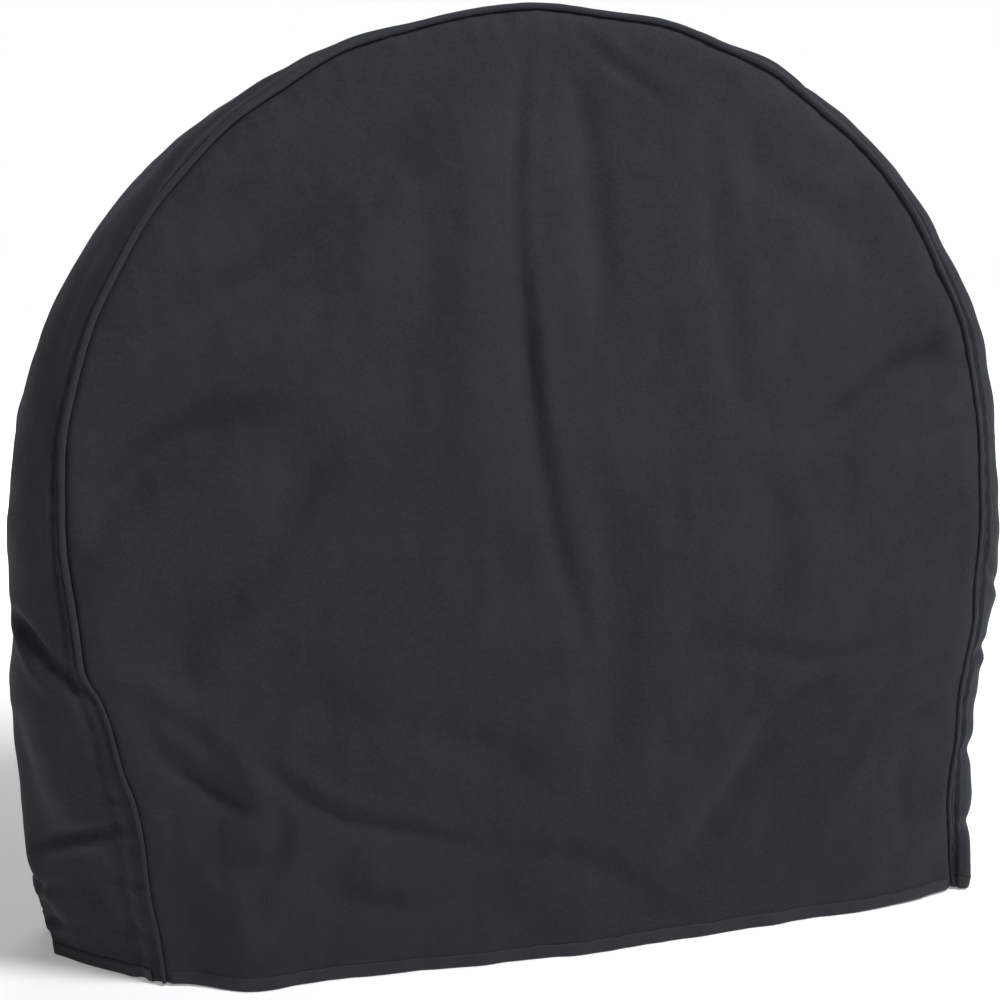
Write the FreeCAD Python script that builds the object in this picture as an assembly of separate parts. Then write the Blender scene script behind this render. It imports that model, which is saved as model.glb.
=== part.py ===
"""Slip-on cover for a parked trailer wheel: a sewn fabric shell with a piped front edge, an elastic
rear opening and a webbing strap with a side-release buckle across the back.

Frame: +Z up, +X to the right seen from the front, the front face towards -Y. The origin is on the
ground, in the middle of the whole object. Millimetres.
"""

import FreeCAD, Part
import os
from math import acos, atan2, cos, pi, radians, sin, sqrt, tan

Vector = FreeCAD.Vector

# ---- Driving dimensions ------------------------------------------------------------------------

SEAM_RADIUS = 358.0  # arch of the seam round the front panel
ARCH_HEIGHT = 363.0  # centre of that arch above the ground
LEG_ANGLE = 5.0  # degrees by which each seam leans in below the arch
DEPTH = 222.0  # front panel to back panel, for a tyre 8.75 inches wide
CLOTH = 1.5  # coated cloth with its soft lining

BAND_BULGE = 32.0  # how far the gusset's middle stands out past its seams at each side
BAND_DROP = 27.0  # how far that middle band sags, which leaves it flatter over the top
BAND_ANGLE = 4.0  # degrees by which the band leans in below the arch
SHOULDER_DEPTH = 60.0  # depth over which the gusset rounds out from each seam to its band
SHOULDER_STEPS = 4  # outlines that shape each shoulder
ALLOWANCE = 12.0  # cloth turned in at each seam
FOOT_GAP = 0.5  # trim stops this far above the ground
WALL_FOOT = 1.0  # cloth stops this far above the ground, inside its hem tape

PIPING_RADIUS = 2.5
PIPING_BORE = 1.6
PIPING_CORD_RADIUS = 1.5
FLANGE = 1.0  # thickness of the piping's sewn-in flange
PIPING_STANDOFF = 0.2  # between the front panel's edge and the piping

BINDING = 0.8  # thickness of the tape that binds the raw seam edges
BINDING_WIDTH = 8.0
HEM_TAPE = 0.9
HEM_HEIGHT = 12.0
HEM_CLEAR = 16.0  # each hem tape stops this far short of a seam

BACK_BAND = 121.0  # width of the back panel between its seam and the elastic hem
CASING_WIDTH = 16.0
CASING_DEPTH = 6.0
CASING_WALL = 1.0
ELASTIC_WIDTH = 12.0
ELASTIC_THICK = 2.0

STRAP_HEIGHT = 75.0  # centre of the strap above the ground
STRAP_WIDTH = 25.0
STRAP_THICK = 1.6
STRAP_END_X = 302.0  # where each strap end is sewn down
TAIL_LENGTH = 120.0  # free tail beyond the buckle's mouth
PATCH_LENGTH = 60.0
PATCH_HEIGHT = 46.0
PATCH_THICK = 1.2
BUCKLE_X = 20.0  # mouth of the buckle

BUCKLE_HALF_WIDTH = 17.5
SOCKET_HALF_THICK = 4.5
PLUG_HALF_THICK = 4.2
SOCKET_LENGTH = 37.0
PLUG_LENGTH = 18.5
CAVITY_LENGTH = 26.5
CAVITY_HALF_WIDTH = 15.5
CAVITY_HALF_THICK = 2.9
PRONG_HALF_THICK = 2.4
WINDOW = (-24.5, -12.2)  # along X from the mouth
RAIL_INSIDE = 13.0  # half the clear width for the webbing
BAR_RADIUS = 1.5
SOCKET_BAR_X = -35.5
PLUG_BAR_X = 10.0
PRONG_PIVOT = (2.6, 10.0)  # X and Z from the mouth's centre
KNUCKLE_RADIUS = 2.0
RUNNING_GAP = 0.1
KEEPER_X = 95.0  # from the buckle's mouth
KEEPER_LENGTH = 8.0

# ---- Derived places ----------------------------------------------------------------------------

REAR_PROUD = PATCH_THICK + 2 * BAR_RADIUS + STRAP_THICK + SOCKET_HALF_THICK - 1.4  # buckle past the cloth
FRONT_PROUD = PIPING_RADIUS - CLOTH + RUNNING_GAP
MID_SHIFT = (REAR_PROUD - FRONT_PROUD) / 2  # keeps the origin in the middle of the whole depth
FRONT_Y = -DEPTH / 2 - MID_SHIFT
BACK_Y = DEPTH / 2 - MID_SHIFT
GUSSET_FRONT = FRONT_Y + CLOTH + FLANGE
GUSSET_BACK = BACK_Y - CLOTH
GUSSET_MID = (GUSSET_FRONT + GUSSET_BACK) / 2
GUSSET_HALF = (GUSSET_BACK - GUSSET_FRONT) / 2
FLAT_HALF = GUSSET_HALF - SHOULDER_DEPTH
LEAN = radians(LEG_ANGLE)
STRAP_LAP = BAR_RADIUS + RUNNING_GAP + STRAP_THICK / 2  # webbing's middle from a bar's middle
BUCKLE_Y = BACK_Y + PATCH_THICK + STRAP_THICK / 2 + STRAP_LAP
BELOW = 60.0  # how far under the ground the gusset's blank reaches before it is cut
ABOVE = 2000.0  # larger than the whole cover


# ---- Helpers -----------------------------------------------------------------------------------


def place(offset, y):
    """A point of a seam's section: offset outwards from the front seam's arch, at depth y."""
    return Vector(SEAM_RADIUS + offset, y, ARCH_HEIGHT)


def line(a, b):
    return Part.LineSegment(a, b).toShape()


def arc(a, through, b):
    return Part.Arc(a, through, b).toShape()


def face_of(edges):
    return Part.Face(Part.Wire(edges))


def polygon(points):
    return Part.Face(Part.makePolygon(points + points[:1]))


def box(x, y, z):
    """A box from its three (low, high) pairs."""
    return Part.makeBox(x[1] - x[0], y[1] - y[0], z[1] - z[0], Vector(x[0], y[0], z[0]))


def section_box(offset, y):
    """A rectangle in a seam's section, from its two (low, high) pairs."""
    (r0, r1), (y0, y1) = offset, y
    return polygon([place(r0, y0), place(r1, y0), place(r1, y1), place(r0, y1)])


def above(shape, height):
    """The part of a shape above a height."""
    return shape.common(box((-ABOVE, ABOVE), (-ABOVE, ABOVE), (height, ABOVE)))


def between(shape, low, high):
    """The part of a shape between two heights."""
    return shape.common(box((-ABOVE, ABOVE), (-ABOVE, ABOVE), (low, high)))


def right_leg(section):
    """A section carried from the arch's right end down past the ground."""
    start = section.copy()
    start.rotate(Vector(0, 0, ARCH_HEIGHT), Vector(0, -1, 0), -LEG_ANGLE)
    down = Vector(-sin(LEAN), 0, -cos(LEAN)) * (ARCH_HEIGHT + SEAM_RADIUS * 0.25)
    return start.extrude(down)


def mirrored(shape):
    return shape.mirror(Vector(0, 0, 0), Vector(1, 0, 0))


def round_cover(section, foot):
    """A section swept down one side, over the arch and down the other side, cut off at foot."""
    start = section.copy()
    start.rotate(Vector(0, 0, ARCH_HEIGHT), Vector(0, -1, 0), -LEG_ANGLE)
    arch = start.revolve(Vector(0, 0, ARCH_HEIGHT), Vector(0, -1, 0), 180 + 2 * LEG_ANGLE)
    leg = right_leg(section)
    return above(arch.fuse([leg, mirrored(leg)]).removeSplitter(), foot)


def cover_outline(share, inset, y):
    """The cover's outline at depth y, share of the way from a seam (0) to the bulged band (1)."""
    radius = SEAM_RADIUS + share * BAND_BULGE - inset
    height = ARCH_HEIGHT - share * BAND_DROP
    lean = radians(LEG_ANGLE + share * (BAND_ANGLE - LEG_ANGLE))
    side = Vector(radius * cos(lean), y, height - radius * sin(lean))
    foot = Vector(side.x - (side.z + BELOW) * tan(lean), y, -BELOW)
    left_side, left_foot = Vector(-side.x, y, side.z), Vector(-foot.x, y, foot.z)
    crown = Vector(0, y, height + radius)
    return Part.Wire(
        [line(foot, side), arc(side, crown, left_side), line(left_side, left_foot), line(left_foot, foot)]
    )


def gusset_blank(inset):
    """The solid inside the gusset's face; inset counts inwards from its outer face."""
    stations = []
    for step in range(SHOULDER_STEPS + 1):
        turn = radians(90.0 * step / SHOULDER_STEPS)
        reach = FLAT_HALF + (SHOULDER_DEPTH - inset) * cos(turn)
        stations.append((sin(turn), reach))
    depths = [(share, GUSSET_MID - reach) for share, reach in stations]
    depths += [(1.0, GUSSET_MID)]
    depths += [(share, GUSSET_MID + reach) for share, reach in reversed(stations)]
    return Part.makeLoft([cover_outline(share, inset * share, y) for share, y in depths], True, False)


def ribbon(path, thick, low, high):
    """Webbing: a wire in the XY plane given thickness, from height low to height high."""
    outline = path.makeOffset2D(thick / 2, 0, False, False, False)
    outline.translate(Vector(0, 0, low))
    return Part.Face(outline).extrude(Vector(0, 0, high - low))


def in_buckle(shape):
    """Moves a shape from the buckle's own frame to its place behind the cover."""
    shape.translate(Vector(BUCKLE_X, BUCKLE_Y, STRAP_HEIGHT))
    return shape


def rounded(shape, radius, direction):
    """Rounds the edges of a box that run along a direction."""
    edges = [e for e in shape.Edges if abs(e.tangentAt(e.FirstParameter).dot(direction)) > 0.99]
    return shape.makeFillet(radius, edges)


# ---- Sewn shell --------------------------------------------------------------------------------


def front_panel():
    """The flat face: a round top on two leaning sides and a straight foot."""
    top = Vector(0, FRONT_Y, ARCH_HEIGHT + SEAM_RADIUS)
    shoulder = Vector(SEAM_RADIUS * cos(LEAN), FRONT_Y, ARCH_HEIGHT - SEAM_RADIUS * sin(LEAN))
    drop = shoulder.z - WALL_FOOT
    foot = Vector(shoulder.x - drop * tan(LEAN), FRONT_Y, WALL_FOOT)
    left_shoulder, left_foot = Vector(-shoulder.x, FRONT_Y, shoulder.z), Vector(-foot.x, FRONT_Y, foot.z)
    outline = [
        arc(shoulder, top, left_shoulder),
        line(left_shoulder, left_foot),
        line(left_foot, foot),
        line(foot, shoulder),
    ]
    return face_of(outline).extrude(Vector(0, CLOTH, 0))


def side_gusset():
    """The band round the tread, with its edges turned in at both seams."""
    shell = gusset_blank(0).cut(gusset_blank(CLOTH))
    inside = Part.Face(cover_outline(0, ALLOWANCE, GUSSET_FRONT - 1)).extrude(Vector(0, DEPTH, 0))
    return above(shell.cut(inside), WALL_FOOT)


def back_panel():
    """The horseshoe that closes the back down to the elastic hem."""
    return round_cover(section_box((-BACK_BAND, 0), (BACK_Y - CLOTH, BACK_Y)), WALL_FOOT)


def piping_disc(radius):
    """A round section at the piping's middle."""
    middle = place(PIPING_RADIUS + PIPING_STANDOFF, FRONT_Y + CLOTH - RUNNING_GAP)
    return Part.Face(Part.Wire(Part.makeCircle(radius, middle, Vector(0, 0, 1))))


def front_piping_cover():
    """The cloth tube round the piping cord, with the flange that is sewn into the seam."""
    flange_root = PIPING_STANDOFF + PIPING_RADIUS - sqrt(PIPING_RADIUS**2 - FLANGE**2) + FLANGE / 2
    flange = section_box((-ALLOWANCE, flange_root), (FRONT_Y + CLOTH, FRONT_Y + CLOTH + FLANGE))
    section = piping_disc(PIPING_RADIUS).fuse(flange).cut(piping_disc(PIPING_BORE)).removeSplitter()
    return round_cover(section.Faces[0], FOOT_GAP)


def front_piping_cord():
    return round_cover(piping_disc(PIPING_CORD_RADIUS), FOOT_GAP)


def seam_binding(cloth_side, inwards):
    """Tape capping turned-in edges whose stack runs from cloth_side towards inwards (+1 or -1 in Y)."""
    stack = CLOTH + (FLANGE if inwards > 0 else 0.0)
    far = cloth_side + inwards * (stack + BINDING)
    near = cloth_side + inwards * stack
    tip = (-ALLOWANCE - BINDING, -ALLOWANCE)
    lap = (-ALLOWANCE - BINDING, -ALLOWANCE + BINDING_WIDTH)
    cap = section_box(tip, sorted((cloth_side, far)))
    leg = section_box(lap, sorted((near, far)))
    return round_cover(cap.fuse(leg).removeSplitter().Faces[0], FOOT_GAP)


def front_hem_tape(wall):
    """Folded tape over the front panel's bottom edge."""
    half = SEAM_RADIUS / cos(LEAN) - ARCH_HEIGHT * tan(LEAN) - HEM_CLEAR
    tape = box((-half, half), (FRONT_Y - HEM_TAPE, FRONT_Y + CLOTH + HEM_TAPE), (0, HEM_HEIGHT))
    return tape.cut(wall)


def side_hem_tapes(wall):
    """Folded tape over each of the gusset's bottom edges."""
    tape = gusset_blank(-HEM_TAPE).cut(gusset_blank(CLOTH + HEM_TAPE))
    depths = (GUSSET_FRONT + HEM_CLEAR, GUSSET_BACK - HEM_CLEAR)
    return tape.common(box((-ABOVE, ABOVE), depths, (0, HEM_HEIGHT))).cut(wall)


def back_hem_tapes(wall):
    """Folded tape over the bottom edge of each leg of the back panel."""
    section = section_box((HEM_CLEAR - BACK_BAND, -HEM_CLEAR), (BACK_Y - CLOTH - HEM_TAPE, BACK_Y + HEM_TAPE))
    leg = between(right_leg(section), 0, HEM_HEIGHT)
    return Part.makeCompound([leg.cut(wall), mirrored(leg).cut(wall)])


def elastic_casing():
    """The hollow hem along the rear opening."""
    outer = section_box((-BACK_BAND - CASING_WIDTH, -BACK_BAND), (BACK_Y - CASING_DEPTH, BACK_Y))
    hollow = section_box(
        (-BACK_BAND - CASING_WIDTH + CASING_WALL, -BACK_BAND - CASING_WALL),
        (BACK_Y - CASING_DEPTH + CASING_WALL, BACK_Y - CASING_WALL),
    )
    return round_cover(outer.cut(hollow).Faces[0], FOOT_GAP)


def rear_elastic():
    middle_r = -BACK_BAND - CASING_WIDTH / 2
    middle_y = BACK_Y - CASING_DEPTH / 2
    section = section_box(
        (middle_r - ELASTIC_WIDTH / 2, middle_r + ELASTIC_WIDTH / 2),
        (middle_y - ELASTIC_THICK / 2, middle_y + ELASTIC_THICK / 2),
    )
    return round_cover(section, HEM_HEIGHT)


def care_label():
    """A blank tag sewn inside the back panel, beside its seam."""
    width, height, thick, side, foot = 30.0, 50.0, 0.4, -336.0, 300.0
    return box(
        (side, side + width),
        (BACK_Y - CLOTH - thick, BACK_Y - CLOTH),
        (foot, foot + height),
    )


# ---- Strap and buckle --------------------------------------------------------------------------


def strap_patch(side):
    """The reinforcement under a strap's sewn end; side is -1 left or +1 right."""
    outer = STRAP_END_X + 3.0
    xs = sorted((side * outer, side * (outer - PATCH_LENGTH)))
    half = PATCH_HEIGHT / 2
    patch = box(xs, (BACK_Y, BACK_Y + PATCH_THICK), (STRAP_HEIGHT - half, STRAP_HEIGHT + half))
    return rounded(patch, 5.0, Vector(0, 1, 0))


def socket_strap():
    """Sewn to the left patch, round the socket's bar and back on to itself."""
    sewn_ply = -STRAP_LAP + STRAP_THICK + RUNNING_GAP / 2
    bend, end_x = Vector(SOCKET_BAR_X - 9.0, sewn_ply), SOCKET_BAR_X - 45.0
    bar = SOCKET_BAR_X
    reach = bend - Vector(bar, 0)
    leave = pi - atan2(reach.y, -reach.x) - acos(STRAP_LAP / reach.Length)
    off_bar = Vector(bar + STRAP_LAP * cos(leave), STRAP_LAP * sin(leave))
    path = Part.Wire(
        [
            line(Vector(-STRAP_END_X - BUCKLE_X, -STRAP_LAP), Vector(bar, -STRAP_LAP)),
            arc(Vector(bar, -STRAP_LAP), Vector(bar + STRAP_LAP, 0), off_bar),
            line(off_bar, bend),
            line(bend, Vector(end_x, sewn_ply)),
        ]
    )
    return in_buckle(ribbon(path, STRAP_THICK, -STRAP_WIDTH / 2, STRAP_WIDTH / 2))


def plug_strap():
    """Sewn to the right patch, up round the plug's bar, down again and out as a free tail."""
    tail_y = -STRAP_LAP + STRAP_THICK + RUNNING_GAP
    turn = 1.0  # radius of the webbing's middle where it turns into the tail
    rise = tail_y + turn
    reach = sqrt((STRAP_LAP + turn) ** 2 - rise**2)
    share = STRAP_LAP / (STRAP_LAP + turn)
    bar = PLUG_BAR_X
    meet = Vector(bar + reach * share, rise * share)
    slant = (meet - Vector(bar, 0)).normalize() + Vector(0, 1)
    over = Vector(bar, 0) + slant.normalize() * STRAP_LAP
    turn_mid = (meet - Vector(bar + reach, rise)).normalize() + Vector(0, -1)
    under = Vector(bar + reach, rise) + turn_mid.normalize() * turn
    path = Part.Wire(
        [
            line(Vector(STRAP_END_X - BUCKLE_X, -STRAP_LAP), Vector(bar, -STRAP_LAP)),
            arc(Vector(bar, -STRAP_LAP), Vector(bar - STRAP_LAP, 0), Vector(bar, STRAP_LAP)),
            arc(Vector(bar, STRAP_LAP), over, meet),
            arc(meet, under, Vector(bar + reach, tail_y)),
            line(Vector(bar + reach, tail_y), Vector(TAIL_LENGTH, tail_y)),
        ]
    )
    return in_buckle(ribbon(path, STRAP_THICK, -STRAP_WIDTH / 2, STRAP_WIDTH / 2))


def webbing_bar(x):
    half = RAIL_INSIDE + 1.0
    return Part.makeCylinder(BAR_RADIUS, 2 * half, Vector(x, 0, -half), Vector(0, 0, 1))


def buckle_socket():
    """The moulded female half: a flat sleeve with a window each side and a bar for the webbing."""
    wide, thick, mouth = BUCKLE_HALF_WIDTH, SOCKET_HALF_THICK, 1.0
    body = box((-SOCKET_LENGTH, 0), (-thick, thick), (-wide, wide))
    body = rounded(body, 3.0, Vector(0, 1, 0))
    body = rounded(body, 1.5, Vector(1, 0, 0))
    cavity = box(
        (-CAVITY_LENGTH, mouth),
        (-CAVITY_HALF_THICK, CAVITY_HALF_THICK),
        (-CAVITY_HALF_WIDTH, CAVITY_HALF_WIDTH),
    )
    windows = box(WINDOW, (-CAVITY_HALF_THICK, CAVITY_HALF_THICK), (-wide - 1, wide + 1))
    webbing_gap = box((-SOCKET_LENGTH - 1, -30.5), (-thick - 1, thick + 1), (-RAIL_INSIDE, RAIL_INSIDE))
    thumb_rest = Part.makeCylinder(14.0, 4 * wide, Vector(-3.0, thick + 13.2, -2 * wide), Vector(0, 0, 1))
    body = body.cut(cavity).cut(windows).cut(webbing_gap).cut(thumb_rest)
    return in_buckle(body.fuse(webbing_bar(SOCKET_BAR_X)).removeSplitter())


def buckle_plug():
    """The moulded male half without its prongs: guide tongue, base, side rails and two bars."""
    wide, thick, base_end, face = BUCKLE_HALF_WIDTH, PLUG_HALF_THICK, 6.3, 0.5
    body = box((face, PLUG_LENGTH + 1.5), (-thick, thick), (-wide, wide))
    body = rounded(body, 2.5, Vector(0, 1, 0))
    body = rounded(body, 1.5, Vector(1, 0, 0))
    ladder = box((base_end, PLUG_LENGTH + 5), (-thick - 1, thick + 1), (-RAIL_INSIDE, RAIL_INSIDE))
    body = body.cut(ladder)
    end_bar = box((15.0, PLUG_LENGTH), (0.2, 3.8), (-RAIL_INSIDE - 1, RAIL_INSIDE + 1))
    tongue = box((-20.0, face + 1), (-PRONG_HALF_THICK, PRONG_HALF_THICK), (-3.0, 3.0))
    body = body.fuse([webbing_bar(PLUG_BAR_X), rounded(end_bar, 0.8, Vector(0, 0, 1)), tongue])
    x, z = PRONG_PIVOT
    pocket_half = PRONG_HALF_THICK + RUNNING_GAP
    neck = 1.8
    for side in (-1, 1):
        seat = Part.makeCylinder(
            KNUCKLE_RADIUS + RUNNING_GAP, 2 * pocket_half, Vector(x, -pocket_half, side * z), Vector(0, 1, 0)
        )
        throat = box((-1, x), (-pocket_half, pocket_half), (side * z - neck, side * z + neck))
        body = body.cut(seat).cut(throat)
    return in_buckle(body.removeSplitter())


def prong(side):
    """One sprung arm with its barbed head; side is +1 for the upper, -1 for the lower."""
    x, z = PRONG_PIVOT
    arm, shoulder_x, flush = 1.1, -12.6, 17.3
    half = PRONG_HALF_THICK

    def corner(px, pz):
        return Vector(px, -half, pz)

    head = [
        line(corner(x, z - arm), corner(-24.3, z - arm)),
        arc(corner(-24.3, z - arm), corner(-25.0, z - arm + 0.3), corner(-25.3, z)),
        line(corner(-25.3, z), corner(-25.3, 12.0)),
        arc(corner(-25.3, 12.0), corner(-23.6, 15.6), corner(-20.0, flush)),
        line(corner(-20.0, flush), corner(shoulder_x, flush)),
        line(corner(shoulder_x, flush), corner(shoulder_x, z + arm)),
        line(corner(shoulder_x, z + arm), corner(x, z + arm)),
        line(corner(x, z + arm), corner(x, z - arm)),
    ]
    blade = face_of(head).extrude(Vector(0, 2 * half, 0))
    knuckle = Part.makeCylinder(KNUCKLE_RADIUS, 2 * half, Vector(x, -half, z), Vector(0, 1, 0))
    shape = blade.fuse(knuckle).removeSplitter()
    if side < 0:
        shape = shape.mirror(Vector(0, 0, 0), Vector(0, 0, 1))
    return in_buckle(shape)


def strap_keeper():
    """The loop that holds the strap's free tail flat; it slides along the webbing."""
    low, high = -STRAP_LAP - STRAP_THICK / 2 - 0.2, -STRAP_LAP + 1.5 * STRAP_THICK + 0.3
    inside, wall = STRAP_WIDTH / 2 + 0.3, 1.6
    along = (KEEPER_X - KEEPER_LENGTH / 2, KEEPER_X + KEEPER_LENGTH / 2)
    outer = box(along, (low - wall, high + wall), (-inside - wall, inside + wall))
    outer = rounded(outer, 1.2, Vector(1, 0, 0))
    return in_buckle(outer.cut(box((along[0] - 1, along[1] + 1), (low, high), (-inside, inside))))


def bar_tacks():
    """Dense stitching that closes each sewn strap end, two bars to an end."""
    proud, width, length = 0.5, 2.0, 20.0
    sewn_ply_top = -STRAP_LAP + 1.5 * STRAP_THICK + RUNNING_GAP / 2
    strap_top = -STRAP_LAP + STRAP_THICK / 2
    rows = [(-STRAP_END_X - BUCKLE_X + gap, strap_top) for gap in (6.0, 44.0)]
    rows += [(STRAP_END_X - BUCKLE_X - gap, strap_top) for gap in (6.0, 44.0)]
    rows += [(SOCKET_BAR_X - gap, sewn_ply_top) for gap in (16.0, 38.0)]
    tacks = []
    for x, y in rows:
        tack = box((x - width / 2, x + width / 2), (y, y + proud), (-length / 2, length / 2))
        tacks.append(in_buckle(tack))
    return Part.makeCompound(tacks)


# ---- Output ------------------------------------------------------------------------------------


def main():
    front, gusset, back = front_panel(), side_gusset(), back_panel()
    parts = {
        "front_panel": front,
        "side_gusset": gusset,
        "back_panel": back,
        "front_piping_cover": front_piping_cover(),
        "front_piping_cord": front_piping_cord(),
        "front_seam_binding": seam_binding(FRONT_Y + CLOTH, 1),
        "rear_seam_binding": seam_binding(BACK_Y - CLOTH, -1),
        "front_hem_tape": front_hem_tape(front),
        "side_hem_tapes": side_hem_tapes(gusset),
        "back_hem_tapes": back_hem_tapes(back),
        "elastic_casing": elastic_casing(),
        "rear_elastic": rear_elastic(),
        "care_label": care_label(),
        "left_strap_patch": strap_patch(-1),
        "right_strap_patch": strap_patch(1),
        "socket_strap": socket_strap(),
        "plug_strap": plug_strap(),
        "buckle_socket": buckle_socket(),
        "buckle_plug": buckle_plug(),
        "upper_prong": prong(1),
        "lower_prong": prong(-1),
        "strap_keeper": strap_keeper(),
        "bar_tacks": bar_tacks(),
    }
    os.makedirs("parts", exist_ok=True)
    whole = FreeCAD.BoundBox()
    for name, shape in parts.items():
        shape.exportStep(f"parts/{name}.step")
        whole.add(shape.BoundBox)
        box_mm = shape.BoundBox
        print(
            f"{name}: {len(shape.Solids)} solid(s), valid {shape.isValid()}, {shape.Volume / 1000:.1f} cm3,"
            f" X {box_mm.XMin:.1f} {box_mm.XMax:.1f} Y {box_mm.YMin:.1f} {box_mm.YMax:.1f}"
            f" Z {box_mm.ZMin:.1f} {box_mm.ZMax:.1f}"
        )
    print(
        f"whole: X {whole.XMin:.2f} {whole.XMax:.2f} Y {whole.YMin:.2f} {whole.YMax:.2f}"
        f" Z {whole.ZMin:.2f} {whole.ZMax:.2f}; pivot {BUCKLE_X + PRONG_PIVOT[0]:.2f} {BUCKLE_Y:.2f}"
        f" {STRAP_HEIGHT + PRONG_PIVOT[1]:.2f}; front {FRONT_Y:.2f} back {BACK_Y:.2f}"
    )


main()
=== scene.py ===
"""Looks of the slip-on wheel cover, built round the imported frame: sewn cloth shell, piping, hems, gathered
back, webbing strap and buckle. Metres; +Z up, +X to the right seen from the front, front towards -Y."""

from math import cos, pi, radians, sin, sqrt, tan

import bpy
import numpy as np
from mathutils import Matrix, Vector
from mathutils.geometry import delaunay_2d_cdt


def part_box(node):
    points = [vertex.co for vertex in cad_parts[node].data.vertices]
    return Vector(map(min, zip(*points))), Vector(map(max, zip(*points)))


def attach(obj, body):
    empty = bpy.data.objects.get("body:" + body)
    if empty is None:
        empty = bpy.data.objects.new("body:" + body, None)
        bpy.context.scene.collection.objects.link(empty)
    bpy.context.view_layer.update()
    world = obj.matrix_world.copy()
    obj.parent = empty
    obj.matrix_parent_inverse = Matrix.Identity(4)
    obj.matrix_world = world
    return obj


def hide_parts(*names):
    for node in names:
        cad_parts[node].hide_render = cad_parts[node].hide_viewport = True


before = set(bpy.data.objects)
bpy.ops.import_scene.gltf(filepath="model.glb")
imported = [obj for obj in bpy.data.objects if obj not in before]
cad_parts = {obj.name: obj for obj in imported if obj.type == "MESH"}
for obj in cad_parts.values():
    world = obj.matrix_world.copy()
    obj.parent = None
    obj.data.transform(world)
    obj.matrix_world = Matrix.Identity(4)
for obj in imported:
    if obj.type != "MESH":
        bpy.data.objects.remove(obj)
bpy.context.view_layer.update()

# ---- Sizes ----

panel_low, panel_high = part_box("front_panel")
band_low, band_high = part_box("side_gusset")
_, back_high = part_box("back_panel")
casing_low, casing_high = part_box("elastic_casing")
patch_low, patch_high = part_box("right_strap_patch")
strap_low, strap_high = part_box("plug_strap")
_, socket_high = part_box("buckle_socket")

CLOTH = panel_high.y - panel_low.y
FRONT = panel_low.y  # outer face of the front panel
BACK = back_high.y  # outer face of the back panel
SEAM_R = panel_high.x
SEAM_Z = panel_high.z - SEAM_R  # centre of the seams' arch
BAND_R = band_high.x
BAND_Z = band_high.z - BAND_R
SEAM_LEAN, BAND_LEAN = radians(5.0), radians(4.0)
GUSSET_FRONT, GUSSET_BACK = band_low.y, band_high.y
SHOULDER = 0.060  # depth over which the gusset rounds out
CASING_WIDTH = 0.016
CASING_DEPTH = casing_high.y - casing_low.y
BACK_BAND = SEAM_R - casing_high.x  # back panel, from its seam to the casing
ALLOWANCE = 0.012
HEM = 0.010
HEM_TAPE = 0.0006
HEM_CLEAR = 0.004
FLOOR_GAP = 0.0008
STEP = 0.0035  # size of the cloth meshes' cells

LEG = (SEAM_Z - SEAM_R * sin(SEAM_LEAN)) / cos(SEAM_LEAN)
LENGTH = SEAM_R * (pi + 2 * SEAM_LEAN) + 2 * LEG  # the whole seam, from foot to foot
LEG_SHARE = LEG / LENGTH
FOOT_X = SEAM_R / cos(SEAM_LEAN) - SEAM_Z * tan(SEAM_LEAN)
SEAM_Y = FRONT + CLOTH

# How far the lines stand out (+) or in (-) from the frame's, by the share of the seam's run from the left
# foot: (share, offset) pairs.
SEAM_OUT = [
    (0, -0.026), (0.045, -0.024), (0.081, -0.022), (0.094, -0.017), (0.118, -0.010), (0.128, -0.005),
    (0.133, 0.001), (0.40, 0.001), (0.46, 0), (0.54, 0), (0.60, 0.002), (0.64, 0.001), (0.811, 0),
    (0.843, 0.006), (0.870, 0.008), (0.889, 0.003), (0.908, 0), (0.94, 0.002), (0.955, 0.005), (0.975, 0.015),
    (1, 0.025),
]
BAND_OUT = [
    (0, 0.015), (0.02, 0.018), (0.03, 0.020), (0.045, 0.024), (0.065, 0.025), (0.11, 0.023), (0.135, 0.021),
    (0.155, 0.013), (0.18, 0.0105), (0.22, 0.0095), (0.28, 0.0085), (0.34, 0.0055), (0.405, 0.004),
    (0.45, 0.001), (0.50, 0.0005), (0.56, 0.006), (0.60, 0.011), (0.64, 0.012), (0.68, 0.0125),
    (0.72, 0.0118), (0.75, 0.010), (0.78, 0.009), (0.82, 0.0115), (0.85, 0.013), (0.87, 0.009),
    (0.89, 0.003), (0.93, 0.001), (0.96, 0.005), (1, 0.006),
]
# How far forward (+) or back (-) the front's foot stands, by its x.
FOOT_LINE = [
    (-0.34, -0.026), (-0.303, -0.020), (-0.292, -0.010), (-0.276, 0.002), (-0.262, 0.007), (-0.24, 0.008),
    (-0.19, 0.006), (-0.10, 0.0096), (0.0, 0.0106), (0.05, 0.0106), (0.13, 0.006), (0.20, 0), (0.25, 0.003),
    (0.28, -0.001), (0.31, -0.012), (0.34, -0.025),
]
# How much of the piping stands clear of the cloth, by the share of the seam's run.
PIPING_SHOW = [(0, 0.45), (0.125, 0.45), (0.14, 1), (0.70, 1), (0.78, 0.55), (1, 0.55)]

# ---- Small tools ----


def ease(t):
    t = np.clip(t, 0.0, 1.0)
    return t * t * (3 - 2 * t)


def bell(t):
    return np.exp(-(t**2))


def soft(value, table, blur=0.012):
    """A profile of (place, amount) pairs with its corners eased."""
    places, amounts = zip(*table)
    taps = np.linspace(-blur, blur, 5)
    return sum(np.interp(value + tap, places, amounts) for tap in taps) / len(taps)


def ripples(a, b, length, seed, count=20):
    """Smooth random relief over (a, b), about length from crest to crest, mostly between -1 and 1."""
    random = np.random.default_rng(seed)
    total = 0.0
    for _ in range(count):
        heading, phase = random.uniform(0, 2 * pi, 2)
        size = length * random.uniform(0.7, 1.5)
        total = total + np.sin(2 * pi * (a * cos(heading) + b * sin(heading)) / size + phase)
    return total / sqrt(count)


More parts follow.
